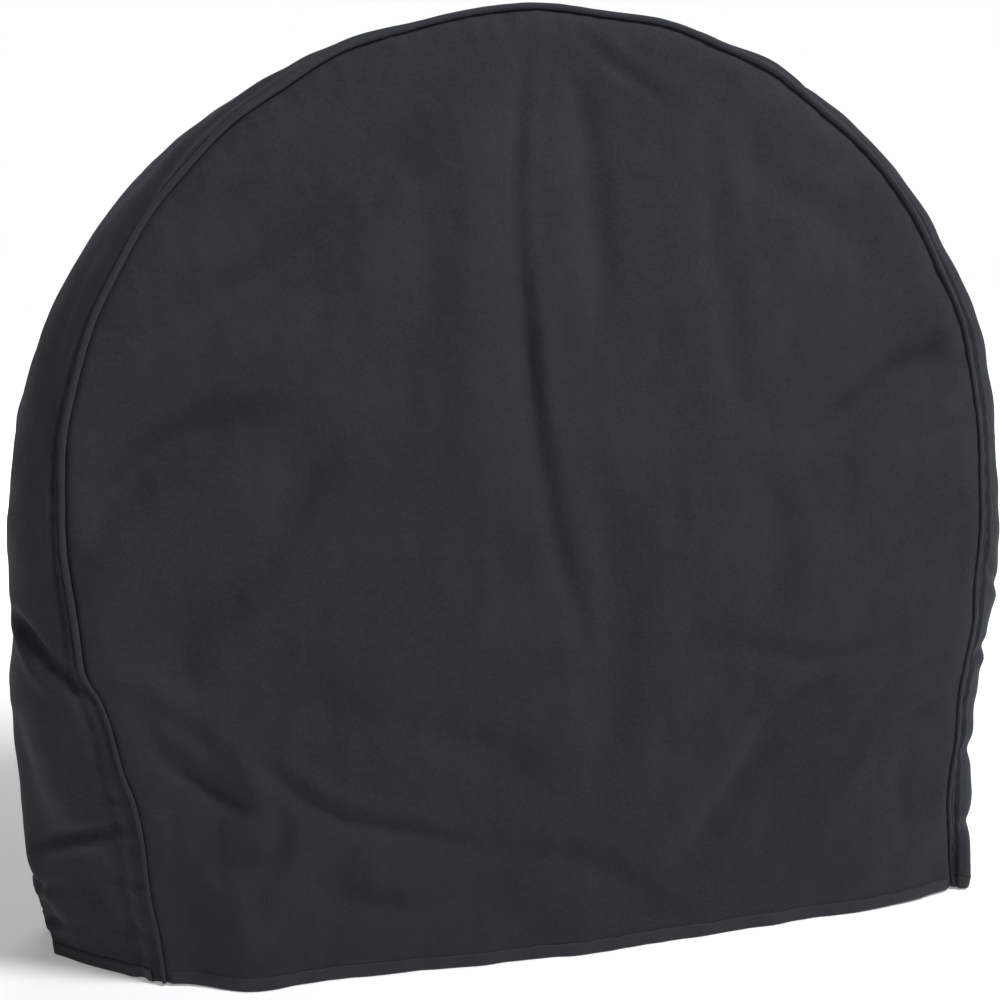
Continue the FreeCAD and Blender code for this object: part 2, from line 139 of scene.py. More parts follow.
def gathers(s, length, seed, count=9):
    """Uneven waves along one line, about length from crest to crest."""
    random = np.random.default_rng(seed)
    total = 0.0
    for _ in range(count):
        size, phase = length * random.uniform(0.7, 1.6), random.uniform(0, 2 * pi)
        total = total + np.sin(2 * pi * s / size + phase)
    return total / sqrt(count)


def curve_through(points, parts=5):
    """A smooth line through points, straight-ended."""
    p = np.array([points[0], *points, points[-1]], float)
    t = np.arange(parts)[:, None] / parts
    runs = [
        0.5 * (2 * b + (c - a) * t + (2 * a - 5 * b + 4 * c - d) * t**2 + (3 * b - a - 3 * c + d) * t**3)
        for a, b, c, d in zip(p, p[1:], p[2:], p[3:])
    ]
    return np.vstack([*runs, p[-1:]])


def fold_relief(a, b, table):
    """Relief over (a, b) of folds: (half width, height, lip, path); the lip is to the path's left."""
    relief = np.zeros(a.shape)
    for width, height, lip, path in table:
        line = curve_through(path)
        low, high = line.min(0) - 5 * width, line.max(0) + 5 * width
        near = (a > low[0]) & (a < high[0]) & (b > low[1]) & (b < high[1])
        pa, pb = a[near], b[near]
        gap, side, along = np.full(pa.shape, 9.0), np.ones(pa.shape), np.zeros(pa.shape)
        for k, (start, end) in enumerate(zip(line, line[1:])):
            run = end - start
            t = np.clip(((pa - start[0]) * run[0] + (pb - start[1]) * run[1]) / (run @ run), 0, 1)
            da, db = pa - start[0] - t * run[0], pb - start[1] - t * run[1]
            closer = np.hypot(da, db) < gap
            gap = np.where(closer, np.hypot(da, db), gap)
            side = np.where(closer, np.sign(run[0] * db - run[1] * da), side)
            along = np.where(closer, (k + t) / (len(line) - 1), along)
        taper = ease(along / 0.3) * ease((1 - along) / 0.3)
        relief[near] += taper * (height * bell(gap / width) + lip * bell(gap * side / width - 1.9))
    return relief


def unit(v):
    return v / np.maximum(np.linalg.norm(v, axis=-1, keepdims=True), 1e-12)


def distances(points):
    """Distance along a line of points, from its start."""
    return np.concatenate([[0], np.cumsum(np.linalg.norm(np.diff(points, axis=0), axis=1))])


def normals_of(grid):
    """Normals of a grid of points (rows, columns, 3)."""
    return unit(np.cross(np.gradient(grid, axis=0), np.gradient(grid, axis=1)))


# ---- Meshes ----


def piece(name, points, faces, uvs, materials, inside=None, slot=None, node=None, thick=0.0):
    """A mesh that rides on the cover. uvs are the corners' flat places; its faces turn away from inside."""
    mesh = bpy.data.meshes.new(name)
    mesh.from_pydata([tuple(p) for p in np.asarray(points).tolist()], [], faces)
    if inside is not None:
        some = [mesh.polygons[i] for i in range(0, len(faces), max(1, len(faces) // 400))]
        away = np.array([np.subtract(face.center, inside) for face in some])
        if (away * np.array([face.normal[:] for face in some])).sum() < 0:
            mesh.flip_normals()
    flat = []
    for face, uv, polygon in zip(faces, uvs, mesh.polygons):
        place = dict(zip(face, uv))
        flat += [place[v] for v in polygon.vertices]
    mesh.uv_layers.new(name="flat").data.foreach_set("uv", np.ravel(flat))
    mesh.shade_smooth()
    obj = bpy.data.objects.new(name, mesh)
    bpy.context.scene.collection.objects.link(obj)
    for material in materials if isinstance(materials, (list, tuple)) else [materials]:
        mesh.materials.append(material)
    if thick:
        wall = obj.modifiers.new("thickness", "SOLIDIFY")
        wall.thickness = thick
        wall.offset = -1.0
        wall.use_even_offset = False
        wall.material_offset = len(mesh.materials) - 1
    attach(obj, "cover")
    if node:
        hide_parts(node)
    return obj


def grid_faces(rows, columns, wrap=False, first=0):
    """Quads of a grid, with the row and column of each corner."""
    faces, corners = [], []
    last = columns if wrap else columns - 1
    for i in range(rows - 1):
        for j in range(last):
            near, far = first + i * columns, first + (i + 1) * columns
            k = (j + 1) % columns
            faces.append((near + j, far + j, far + k, near + k))
            corners.append(((i, j), (i + 1, j), (i + 1, j + 1), (i, j + 1)))
    return faces, corners


def sheet_piece(name, grid, uv, materials, **facts):
    """An open sheet from a grid of points and their places in the flat cloth."""
    rows, columns = grid.shape[:2]
    faces, corners = grid_faces(rows, columns)
    uvs = [[uv[c] for c in four] for four in corners]
    return piece(name, grid.reshape(-1, 3), faces, uvs, materials, **facts)


def swept(centres, side, up, section):
    """Points of a section carried along a line; section is (points, 2) or (places, points, 2)."""
    section = np.broadcast_to(section, (len(centres), *np.shape(section)[-2:]))
    return (
        centres[:, None, :]
        + section[..., 0:1] * np.asarray(side).reshape(-1, 1, 3)
        + section[..., 1:2] * np.asarray(up).reshape(-1, 1, 3)
    )


def tube_parts(grid, first=0, caps=True):
    """Faces and flat places of a closed tube whose rows are its sections."""
    rows, columns = grid.shape[:2]
    faces, corners = grid_faces(rows, columns, wrap=True, first=first)
    run = distances(grid.mean(1))
    loop = distances(np.vstack([grid[0], grid[0, :1]]))
    uvs = [[(run[i], loop[j]) for i, j in four] for four in corners]
    if caps:
        for row, order in ((0, range(columns)), (rows - 1, range(columns - 1, -1, -1))):
            faces.append(tuple(first + row * columns + j for j in order))
            uvs.append([(run[row], loop[j]) for j in order])
    return faces, uvs


def tubes_piece(name, grids, materials, caps=True, **facts):
    """One piece from several closed tubes."""
    points, faces, uvs = [], [], []
    for grid in grids:
        more_faces, more_uvs = tube_parts(grid, first=sum(len(p) for p in points), caps=caps)
        points.append(grid.reshape(-1, 3))
        faces += more_faces
        uvs += more_uvs
    return piece(name, np.vstack(points), faces, uvs, materials, **facts)


def ring(radius, points):
    turn = np.arange(points) * 2 * pi / points
    return radius * np.stack([np.cos(turn), np.sin(turn)], -1)


def rounded_loop(width, height, radius, points=4):
    """A rounded rectangle about the origin, as a loop of points."""
    wide, tall = width / 2 - radius, height / 2 - radius
    loop = []
    for x, y, start in ((1, 1, 0), (-1, 1, 90), (-1, -1, 180), (1, -1, 270)):
        for turn in np.radians(start + np.linspace(0, 90, points)):
            loop.append((x * wide + radius * cos(turn), y * tall + radius * sin(turn)))
    return np.array(loop)


def stitches(line, out, pitch=0.0040, length=0.0028, radius=0.00026, sink=0.00014):
    """A row of small thread stitches lying on a line; out points away from the cloth."""
    run = distances(line)
    starts = np.arange(pitch * 0.5, run[-1] - length, pitch)

    def at(s, values):
        return np.stack([np.interp(s, run, values[:, k]) for k in range(3)], -1)

    grids = []
    rise = np.array([-1.6, 0.35, 0.75, 0.35, -1.6]) * radius - sink
    section = ring(1.0, 6)[None] * (np.array([0.45, 0.95, 1.0, 0.95, 0.45]) * radius)[:, None, None]
    shares = np.array([0.0, 0.18, 0.5, 0.82, 1.0]) * length
    for s in starts:
        places = at(s + shares, line)
        away = unit(at(s + shares, out))
        across = unit(np.cross(unit(places[-1] - places[0]), away))
        grids.append(swept(places + away * rise[:, None], across, away, section))
    return grids


# ---- Materials ----


class Nodes:
    """Short names for building a material's nodes."""

    def __init__(self, name):
        self.material = bpy.data.materials.new(name)
        self.material.use_nodes = True
        self.tree = self.material.node_tree
        self.shader = self.tree.nodes["Principled BSDF"]

    def add(self, kind, **settings):
        node = self.tree.nodes.new(kind)
        for key, value in settings.items():
            setattr(node, key, value)
        return node

    def link(self, source, target):
        if isinstance(source, (int, float, tuple)):
            target.default_value = source
        else:
            self.tree.links.new(source, target)

    def maths(self, operation, a, b=0.0):
        node = self.add("ShaderNodeMath", operation=operation)
        self.link(a, node.inputs[0])
        self.link(b, node.inputs[1])
        return node.outputs[0]

    def wave(self, value):
        return self.maths("ABSOLUTE", self.maths("SINE", value))

    def split(self, vector):
        node = self.add("ShaderNodeSeparateXYZ")
        self.link(vector, node.inputs[0])
        return node.outputs[0], node.outputs[1]

    def mix(self, factor, a, b):
        node = self.add("ShaderNodeMix", data_type="RGBA")
        self.link(factor, node.inputs[0])
        self.link(a, node.inputs[6])
        self.link(b, node.inputs[7])
        return node.outputs[2]

    def spread(self, value, low, high, to_low=0.0, to_high=1.0):
        node = self.add("ShaderNodeMapRange")
        for source, target in zip((value, low, high, to_low, to_high), node.inputs):
            self.link(source, target)
        return node.outputs[0]

    def place(self, scale=(1.0, 1.0, 1.0), turn=0.0, kind="UV"):
        source = self.add("ShaderNodeTexCoord").outputs[kind]
        node = self.add("ShaderNodeMapping")
        self.link(source, node.inputs["Vector"])
        node.inputs["Rotation"].default_value = (0, 0, turn)
        node.inputs["Scale"].default_value = scale
        return node.outputs[0]

    def noise(self, vector, scale, detail=2.0, rough=0.5, warp=0.0):
        node = self.add("ShaderNodeTexNoise")
        self.link(vector, node.inputs["Vector"])
        node.inputs["Scale"].default_value = scale
        node.inputs["Detail"].default_value = detail
        node.inputs["Roughness"].default_value = rough
        node.inputs["Distortion"].default_value = warp
        return node.outputs[0]

    def bump(self, height, distance, strength=1.0, before=None):
        node = self.add("ShaderNodeBump")
        node.inputs["Strength"].default_value = strength
        node.inputs["Distance"].default_value = distance
        self.link(height, node.inputs["Height"])
        if before:
            self.link(before, node.inputs["Normal"])
        return node.outputs[0]

    def finish(self, colour, rough, normal, sheen=0.0, gloss=0.5, tint=(1, 1, 1, 1)):
        shader = self.shader
        self.link(colour, shader.inputs["Base Color"])
        self.link(rough, shader.inputs["Roughness"])
        self.link(normal, shader.inputs["Normal"])
        shader.inputs["Specular IOR Level"].default_value = gloss
        shader.inputs["Sheen Weight"].default_value = sheen
        shader.inputs["Sheen Roughness"].default_value = 0.5
        shader.inputs["Sheen Tint"].default_value = tint
        return self.material


def shade(colour, amount):
    """A colour made darker or lighter, with its alpha."""
    return tuple(c * amount for c in colour) + (1.0,)


def woven(name, colour, pitch=0.0008, turn=0.0, sheen=0.05, gloss=0.2, patches=0.30, depth=0.00013):
    """Plain weave: two sets of threads over and under each other, with slubs and an uneven dye."""
    n = Nodes(name)
    flat = n.place(turn=turn)
    u, v = n.split(flat)
    wander = n.maths("MULTIPLY", n.maths("SUBTRACT", n.noise(flat, 45.0, 1.0), 0.5), 0.0022)
    across = n.maths("MULTIPLY", n.maths("ADD", u, wander), pi / pitch)
    along = n.maths("MULTIPLY", n.maths("SUBTRACT", v, wander), pi / pitch)
    warp_wave, weft_wave = n.maths("SINE", across), n.maths("SINE", along)
    over = n.spread(n.maths("MULTIPLY", warp_wave, weft_wave), -0.25, 0.25)
    warp = n.maths("POWER", n.maths("ABSOLUTE", warp_wave), 0.6)
    weft = n.maths("POWER", n.maths("ABSOLUTE", weft_wave), 0.6)
    rise = n.add("ShaderNodeMix", data_type="FLOAT")
    n.link(over, rise.inputs[0])
    n.link(weft, rise.inputs[2])
    n.link(warp, rise.inputs[3])
    weave = rise.outputs[0]
    warp_slub = n.noise(n.place((900.0, 55.0, 1.0), turn), 1.0, 2.0)
    weft_slub = n.noise(n.place((55.0, 900.0, 1.0), turn), 1.0, 2.0)
    slub = n.maths("MULTIPLY", n.maths("ADD", warp_slub, weft_slub), 0.5)
    grain = n.noise(flat, 520.0, 2.0, 0.7)
    cloud = n.noise(flat, 7.0, 3.0, 0.55, 0.3)
    mottle = n.noise(flat, 230.0, 3.0, 0.75)
    dye = n.noise(flat, 15.0, 2.0, 0.5, 0.4)
    dust = n.noise(n.place(kind="Object"), 16.0, 4.0, 0.65)
    red, green, blue = colour
    bluer, greener = (red, green * 1.25, blue * 1.5, 1.0), (red * 0.95, green * 1.12, blue * 0.92, 1.0)
    tone = n.mix(n.spread(slub, 0.3, 0.7), shade(colour, 0.68), shade(colour, 1.38))
    tone = n.mix(n.spread(mottle, 0.3, 0.7), n.mix(0.75, tone, shade(colour, 0.35)), tone)
    tone = n.mix(n.spread(weave, 0.2, 1.0), n.mix(0.6, tone, shade(colour, 0.45)), tone)
    tone = n.mix(n.spread(cloud, 0.35, 0.65, 0.0, patches), tone, bluer)
    tone = n.mix(n.spread(dye, 0.45, 0.7, 0.0, patches), tone, greener)
    tone = n.mix(n.spread(dust, 0.45, 0.75, 0.0, 0.10), tone, shade(colour, 2.4))
    tone = n.mix(n.spread(grain, 0.35, 0.7, 0.0, 0.3), tone, shade(colour, 1.8))
    rough = n.spread(slub, 0.3, 0.7, 0.72, 0.9)
    fine = n.bump(weave, depth, 0.6)
    fine = n.bump(grain, 0.00014, 0.4, fine)
    fine = n.bump(mottle, 0.00090, 0.5, fine)
    fine = n.bump(slub, 0.00022, 0.4, fine)
    return n.finish(tone, rough, fine, sheen, gloss, (0.75, 0.85, 1.0, 1.0))


def ribbed(name, colour, rib, depth=0.0002, gloss=0.25, rough=0.75, chevron=0.0):
    """Narrow woven tape or webbing: ribs across its length, with fine threads along it."""
    n = Nodes(name)
    flat = n.place()
    run, wide = n.split(flat)
    if chevron:
        run = n.maths("ADD", run, n.maths("PINGPONG", wide, chevron))
    wander = n.maths("MULTIPLY", n.noise(flat, 120.0, 1.0), rib * 0.8)
    ribs = n.wave(n.maths("MULTIPLY", n.maths("ADD", run, wander), pi / rib))
    threads = n.wave(n.maths("MULTIPLY", wide, pi / (rib * 0.8)))
    weave = n.maths("ADD", n.maths("MULTIPLY", ribs, 0.7), n.maths("MULTIPLY", threads, 0.3))
    fuzz = n.noise(flat, 900.0, 3.0, 0.7)
    wear = n.noise(n.place(kind="Object"), 30.0, 3.0, 0.6)
    tone = n.mix(n.spread(weave, 0.1, 0.9), shade(colour, 0.5), shade(colour, 1.15))
    tone = n.mix(n.spread(fuzz, 0.35, 0.8, 0.0, 0.35), tone, shade(colour, 1.9))
    tone = n.mix(n.spread(wear, 0.5, 0.8, 0.0, 0.2), tone, shade(colour, 2.2))
    normal = n.bump(fuzz, 0.00012, 0.4, n.bump(weave, depth, 0.8))
    return n.finish(tone, n.spread(fuzz, 0.2, 0.8, rough - 0.1, rough + 0.1), normal, 0.05, gloss)


def twisted(name, colour):
    """Sewing thread: a steep twist with loose fibres."""
    n = Nodes(name)
    flat = n.place()
    along, around = n.split(flat)
    ply = n.wave(n.maths("ADD", n.maths("MULTIPLY", along, 5200.0), n.maths("MULTIPLY", around, 3200.0)))
    fuzz = n.noise(flat, 2500.0, 2.0)
    tone = n.mix(ply, shade(colour, 0.5), n.mix(fuzz, shade(colour, 1.0), shade(colour, 1.5)))
    return n.finish(tone, n.spread(fuzz, 0.2, 0.8, 0.45, 0.7), n.bump(ply, 0.0001, 0.7), 0.05, 0.4)


def moulded(name, colour):
    """Moulded nylon: fine spark grain, faint flow marks and rubbed edges."""
    n = Nodes(name)
    place = n.place(kind="Object")
    grain = n.noise(place, 2600.0, 3.0, 0.6)
    flow = n.noise(place, 90.0, 2.0, 0.5, 1.5)
    edge = n.add("ShaderNodeNewGeometry").outputs["Pointiness"]
    rub = n.maths("MULTIPLY", n.spread(edge, 0.52, 0.62), n.noise(place, 400.0, 2.0))
    tone = n.mix(n.spread(flow, 0.35, 0.7), shade(colour, 0.85), shade(colour, 1.2))
    tone = n.mix(rub, tone, shade(colour, 3.0))
    rough = n.spread(flow, 0.3, 0.7, 0.34, 0.5)
    return n.finish(tone, rough, n.bump(grain, 0.00008, 0.5, n.bump(flow, 0.0001, 0.2)), 0.0, 0.5)


CHARCOAL = (0.0174, 0.0189, 0.0231)
shell = woven("shell_weave", CHARCOAL)
lining = woven("lining_weave", (0.060, 0.062, 0.066), 0.0009, 0.0, 0.15, 0.1, 0.05, 0.0001)
bias = woven("piping_weave", shade(CHARCOAL, 1.12)[:3], 0.0010, radians(45), 0.08, 0.25)
tape = ribbed("hem_tape_weave", shade(CHARCOAL, 1.05)[:3], 0.0009, depth=0.00012)
binding = ribbed("binding_weave", shade(CHARCOAL, 0.8)[:3], 0.0014)
webbing = ribbed("webbing_weave", (0.016, 0.0165, 0.018), 0.0016, depth=0.0004, gloss=0.35, chevron=0.0042)
elastic = ribbed("elastic_knit", (0.32, 0.32, 0.31), 0.0018, depth=0.0003, gloss=0.3)
satin = ribbed("label_satin", (0.44, 0.44, 0.43), 0.0004, depth=0.00004, gloss=0.5, rough=0.45)
cotton = ribbed("cord_cotton", (0.42, 0.41, 0.38), 0.0015, depth=0.0004)
thread = twisted("sewing_thread", (0.0125, 0.0135, 0.016))
nylon = moulded("buckle_nylon", (0.013, 0.0132, 0.014))

# ---- Seam and band lines ----


def outline(share, w):
    """x and z of the frame's outline, from a seam (share 0) to the band (1), at w from left foot to right."""
    radius = SEAM_R + share * (BAND_R - SEAM_R)
    height = SEAM_Z + share * (BAND_Z - SEAM_Z)
    lean = SEAM_LEAN + share * (BAND_LEAN - SEAM_LEAN)
    turn = np.clip((w - LEG_SHARE) / (1 - 2 * LEG_SHARE), 0, 1)
    angle = pi + lean - turn * (pi + 2 * lean)
    below = (np.maximum(LEG_SHARE - w, 0) + np.maximum(w - 1 + LEG_SHARE, 0)) / LEG_SHARE
    drop = below * (height - radius * np.sin(lean))
    x, z = radius * np.cos(angle), height + radius * np.sin(angle)
    return x - np.sign(x) * drop * np.tan(lean), z - drop


def foot_out(x, z):
    """How far forward the cloth stands near the front's foot."""
    out = soft(x, FOOT_LINE)
    return np.maximum(out, 0) * bell(z / 0.22) + np.minimum(out, 0) * bell(z / 0.09)


def foot_lift(x, z):
    """How far the cloth's foot is held off the floor, a little more at the front corners."""
    corners = 0.002 * (bell((x + FOOT_X) / 0.05) + bell((x - FOOT_X) / 0.07))
    return FLOOR_GAP * bell(z / 0.03) + corners * bell(z / 0.07)


def pushed_out(share, w, amount):
    """The frame's outline pushed out by an amount, as x and z; the legs move sideways only."""
    x, z = outline(share, w)
    slope = ease((z - 0.20) / 0.25)
    height = np.maximum(z - (SEAM_Z if share == 0 else BAND_Z), 0) * slope
    reach = np.hypot(x, height)
    return x + amount * x / reach, z + amount * height / reach


def front_seam(w):
    """Points of the front seam at shares w of its run from the left foot."""
    run = w * LENGTH
    x, z = pushed_out(0.0, w, soft(w, SEAM_OUT, 0.004) + 0.0008 * gathers(run, 0.11, 3))
    sway = 0.0012 * gathers(run, 0.16, 4)
    return np.stack([x, SEAM_Y - foot_out(x, z) + sway, z + foot_lift(x, z)], -1)


def rear_seam(w):
    """Points of the rear seam, in the same way."""
    run = w * LENGTH
    x, z = pushed_out(0.0, w, 0.0010 * gathers(run, 0.10, 5) + 0.002)
    sway = 0.0012 * gathers(run, 0.14, 6)
    return np.stack([x, BACK - CLOTH - 0.001 + sway, z + FLOOR_GAP * bell(z / 0.03)], -1)


def band_line(w):
    """x and z of the widest part of the gusset, with y left at 0."""
    x, z = pushed_out(1.0, w, soft(w, BAND_OUT, 0.008))
    return np.stack([x, 0 * x, z + FLOOR_GAP * bell(z / 0.03)], -1)


def frame_along(points):
    """The outward direction at each point of a seam."""
    return unit(np.cross(unit(np.gradient(points, axis=0)), [0.0, 1.0, 0.0]))


def seam_places(step):
    return np.linspace(0, 1, int(LENGTH / step) + 1)


# ---- Front panel ----

# Folds of the front panel: (half width, height, lip, path of x and z). Below the face is negative.
FRONT_FOLDS = [
    (0.006, -0.0026, 0.0012, [(-0.01, 0.72), (-0.02, 0.65), (-0.025, 0.58),
        (-0.02, 0.5), (-0.013, 0.42), (0, 0.34)]),
    (0.01, -0.0054, 0.0012, [(-0.03, 0.58), (-0.022, 0.49), (-0.017, 0.42),
        (-0.006, 0.36), (0.01, 0.29), (0.025, 0.23)]),
    (0.028, 0.0064, 0, [(-0.045, 0.72), (-0.055, 0.62), (-0.065, 0.52), (-0.06, 0.4), (-0.04, 0.3)]),
    (0.012, -0.005, 0, [(0.02, 0.7), (0.03, 0.64), (0.035, 0.58), (0.04, 0.52), (0.04, 0.45)]),
    (0.02, -0.006, 0, [(0.03, 0.4), (0.045, 0.32), (0.05, 0.24), (0.04, 0.17), (0.02, 0.1)]),
    (0.006, -0.0026, 0.001, [(-0.01, 0.74), (0.02, 0.71), (0.055, 0.68), (0.11, 0.64)]),
    (0.016, -0.0045, 0, [(0.12, 0.64), (0.13, 0.57), (0.14, 0.5), (0.155, 0.43), (0.19, 0.39)]),
    (0.016, -0.003, 0, [(0.14, 0.63), (0.17, 0.6), (0.23, 0.56), (0.32, 0.5)]),
    (0.017, -0.014, 0, [(0.18, 0.38), (0.24, 0.41), (0.28, 0.44), (0.32, 0.46), (0.37, 0.48)]),
    (0.04, 0.006, 0, [(0.22, 0.34), (0.28, 0.37), (0.33, 0.38), (0.36, 0.4)]),
    (0.005, -0.0027, 0, [(0.28, 0.385), (0.33, 0.4), (0.39, 0.4)]),
    (0.018, -0.0042, 0, [(0.16, 0.4), (0.18, 0.33), (0.18, 0.28), (0.16, 0.22)]),
    (0.011, -0.0045, 0.0009, [(0.1, 0.24), (0.16, 0.23), (0.21, 0.215), (0.26, 0.225), (0.33, 0.26)]),
    (0.005, -0.0029, 0.0011, [(0.24, 0.155), (0.27, 0.185), (0.3, 0.2), (0.34, 0.21)]),
    (0.005, -0.0024, 0.0008, [(0.22, 0.14), (0.26, 0.155), (0.3, 0.165), (0.33, 0.18)]),
    (0.014, -0.0105, 0, [(0.25, 0.22), (0.22, 0.195), (0.18, 0.165),
        (0.15, 0.12), (0.12, 0.08), (0.09, 0.04)]),
    (0.03, 0.0045, 0, [(0.19, 0.05), (0.22, 0.1), (0.26, 0.14), (0.3, 0.18)]),
    (0.012, -0.003, 0, [(0.28, 0.14), (0.29, 0.09), (0.29, 0.03)]),
    (0.016, -0.0065, 0, [(-0.08, 0.06), (-0.03, 0.08), (0.02, 0.07), (0.07, 0.035), (0.11, 0)]),
    (0.014, -0.0055, 0, [(-0.21, 0.08), (-0.17, 0.065), (-0.12, 0.05), (-0.07, 0.058), (-0.03, 0.07)]),
    (0.016, 0.0042, 0, [(-0.33, 0.13), (-0.29, 0.085), (-0.265, 0.05), (-0.25, 0.02)]),
    (0.011, -0.005, 0, [(-0.3, 0.09), (-0.26, 0.095), (-0.23, 0.1), (-0.22, 0.13), (-0.23, 0.16)]),
    (0.008, -0.0045, 0.0017, [(-0.25, 0.19), (-0.21, 0.15), (-0.17, 0.125), (-0.12, 0.11), (-0.03, 0.085)]),
    (0.01, -0.006, 0.0022, [(-0.34, 0.21), (-0.3, 0.17), (-0.27, 0.15), (-0.23, 0.13)]),
    (0.015, 0.0051, 0, [(-0.35, 0.27), (-0.29, 0.22), (-0.25, 0.18), (-0.23, 0.13)]),
    (0.02, -0.0052, 0, [(-0.23, 0.22), (-0.17, 0.205), (-0.1, 0.185), (-0.04, 0.155), (0.01, 0.12)]),
    (0.015, -0.009, 0, [(-0.17, 0.42), (-0.18, 0.39), (-0.2, 0.355),
        (-0.235, 0.31), (-0.28, 0.27), (-0.33, 0.25)]),
    (0.02, -0.015, 0, [(-0.39, 0.33), (-0.34, 0.37), (-0.29, 0.405), (-0.25, 0.425), (-0.19, 0.43)]),
    (0.032, 0.0045, 0, [(-0.36, 0.3), (-0.3, 0.345), (-0.25, 0.365), (-0.19, 0.37)]),
    (0.02, -0.0115, 0, [(-0.07, 0.68), (-0.11, 0.62), (-0.16, 0.565), (-0.25, 0.51), (-0.32, 0.48)]),
    (0.005, -0.0018, 0, [(-0.37, 0.49), (-0.33, 0.49), (-0.29, 0.49)]),
    (0.03, -0.004, 0, [(-0.06, 0.7), (-0.08, 0.6), (-0.09, 0.5), (-0.12, 0.4)]),
]


def nearest_on_seam(x, z):
    """For points of the flat panel: the depth inside its outline, and w of the nearest seam point."""
    angle = np.arctan2(z - SEAM_Z, np.abs(x))
    on_arch = angle > -SEAM_LEAN
    to_arch = SEAM_R - np.hypot(x, z - SEAM_Z)
    to_leg = (FOOT_X + z * tan(SEAM_LEAN) - np.abs(x)) * cos(SEAM_LEAN)
    depth = np.maximum(np.where(on_arch, to_arch, to_leg), 0.0)
    along_leg = np.clip((z - depth * sin(SEAM_LEAN)) / cos(SEAM_LEAN), 0, LEG)
    along = np.where(on_arch, LEG + SEAM_R * (angle + SEAM_LEAN), along_leg) / LENGTH
    return depth, np.where(x < 0, along, 1 - along)


def panel_points():
    """Places in the flat front panel: rows close together at its seam, and even rows inside."""
    places = []
    w = seam_places(0.0032)
    x, z = outline(0.0, w)
    edge = np.stack([x, np.zeros(x.shape), z], -1)
    out = frame_along(edge)
    for inset in (0.0, 0.0008, 0.0016, 0.0025, 0.0037, 0.0053, 0.0076):
        row = edge - inset * out
        places.append(row[row[:, 2] > -1e-9][:, [0, 2]])
    foot = np.linspace(-FOOT_X + 0.003, FOOT_X - 0.003, int(2 * FOOT_X / STEP))
    places.append(np.stack([foot, np.zeros(foot.shape)], -1))
    across = np.arange(-SEAM_R, SEAM_R, STEP)
    rise = STEP * 0.87  # near the height of a triangle with equal sides
    rows = np.arange(rise, 2 * SEAM_R + 0.01, rise)
    gx, gz = np.meshgrid(across, rows)
    gx = gx + (np.arange(len(rows)) % 2)[:, None] * STEP / 2
    depth, _ = nearest_on_seam(gx, gz)
    places.append(np.stack([gx, gz], -1)[depth > 0.0098])
    return np.vstack(places)


def panel_surface(x, z):
    """The hung front panel at places of the flat one."""
    depth, w = nearest_on_seam(x, z)
    seam_x, seam_z = outline(0.0, w)
    moved = front_seam(w) - np.stack([seam_x, SEAM_Y + 0 * x, seam_z], -1)
    moved[..., 1:] += np.stack([foot_out(seam_x, seam_z), -foot_lift(seam_x, seam_z)], -1)
    hold = bell(depth / 0.11)
    off_seam = 1 - bell(depth / 0.012)
    crown = 0.0062 * (1 - bell(depth / 0.13)) + 0.0016 * (1 - bell(depth / 0.010))
    crown = crown * (1 - 0.75 * bell(z / 0.12))
    sag = 0.0022 * ripples(x, z, 0.26, 11) + 0.0007 * ripples(x + 0.2 * z, 0.6 * z, 0.085, 12)
    sag = sag + 0.0004 * ripples(x - 0.4 * z, 0.7 * z, 0.045, 13) + 0.00028 * ripples(x, z, 0.024, 17)
    pucker = 0.0003 * gathers(w * LENGTH, 0.014, 14) + 0.0005 * gathers(w * LENGTH, 0.045, 16)
    hem_wave = 0.0009 * gathers(x, 0.075, 15) * bell(z / 0.04)
    folds = fold_relief(x, z, FRONT_FOLDS)
    # Valleys fade out near the seam, so that they stay ahead of its turned-in edges.
    folds = np.where(folds < 0, folds * (1 - bell(depth / 0.030)), folds)
    relief = crown + off_seam * (sag + folds + hem_wave) + pucker * bell((depth - 0.008) / 0.010)
    curl_width = 0.0052 + 0.0025 * ease((w - 0.5) / 0.1)
    curl = 0.0032 * np.clip(1 - depth / curl_width, 0, 1) ** 2
    moved = moved * hold[..., None]
    y = FRONT + moved[..., 1] - foot_out(x, z) - relief + curl
    return np.stack([x + moved[..., 0], y, z + moved[..., 2] + foot_lift(x, z)], -1)


def front_cloth():
    flat = panel_points()
    found = delaunay_2d_cdt([Vector(p) for p in flat.tolist()], [], [], 0, 1e-7)
    flat = np.array([v[:] for v in found[0]])
    corners = flat[np.array(found[2])]
    a, b = corners[:, 1] - corners[:, 0], corners[:, 2] - corners[:, 0]
    area = 0.5 * np.abs(a[:, 0] * b[:, 1] - a[:, 1] * b[:, 0])
    longest = np.max([np.linalg.norm(corners[:, i] - corners[:, i - 1], axis=1) for i in range(3)], axis=0)
    faces = [tuple(f) for f, fat in zip(found[2], area > 0.02 * longest**2) if fat]
    points = panel_surface(flat[:, 0], flat[:, 1])
    uvs = [[tuple(flat[v]) for v in f] for f in faces]
    return piece(
        "front_cloth", points, faces, uvs, [shell, lining], inside=(0.0, BACK, 0.36),
        slot="shell_cloth", node="front_panel", thick=CLOTH,
    )


front = front_cloth()

# ---- Side gusset ----

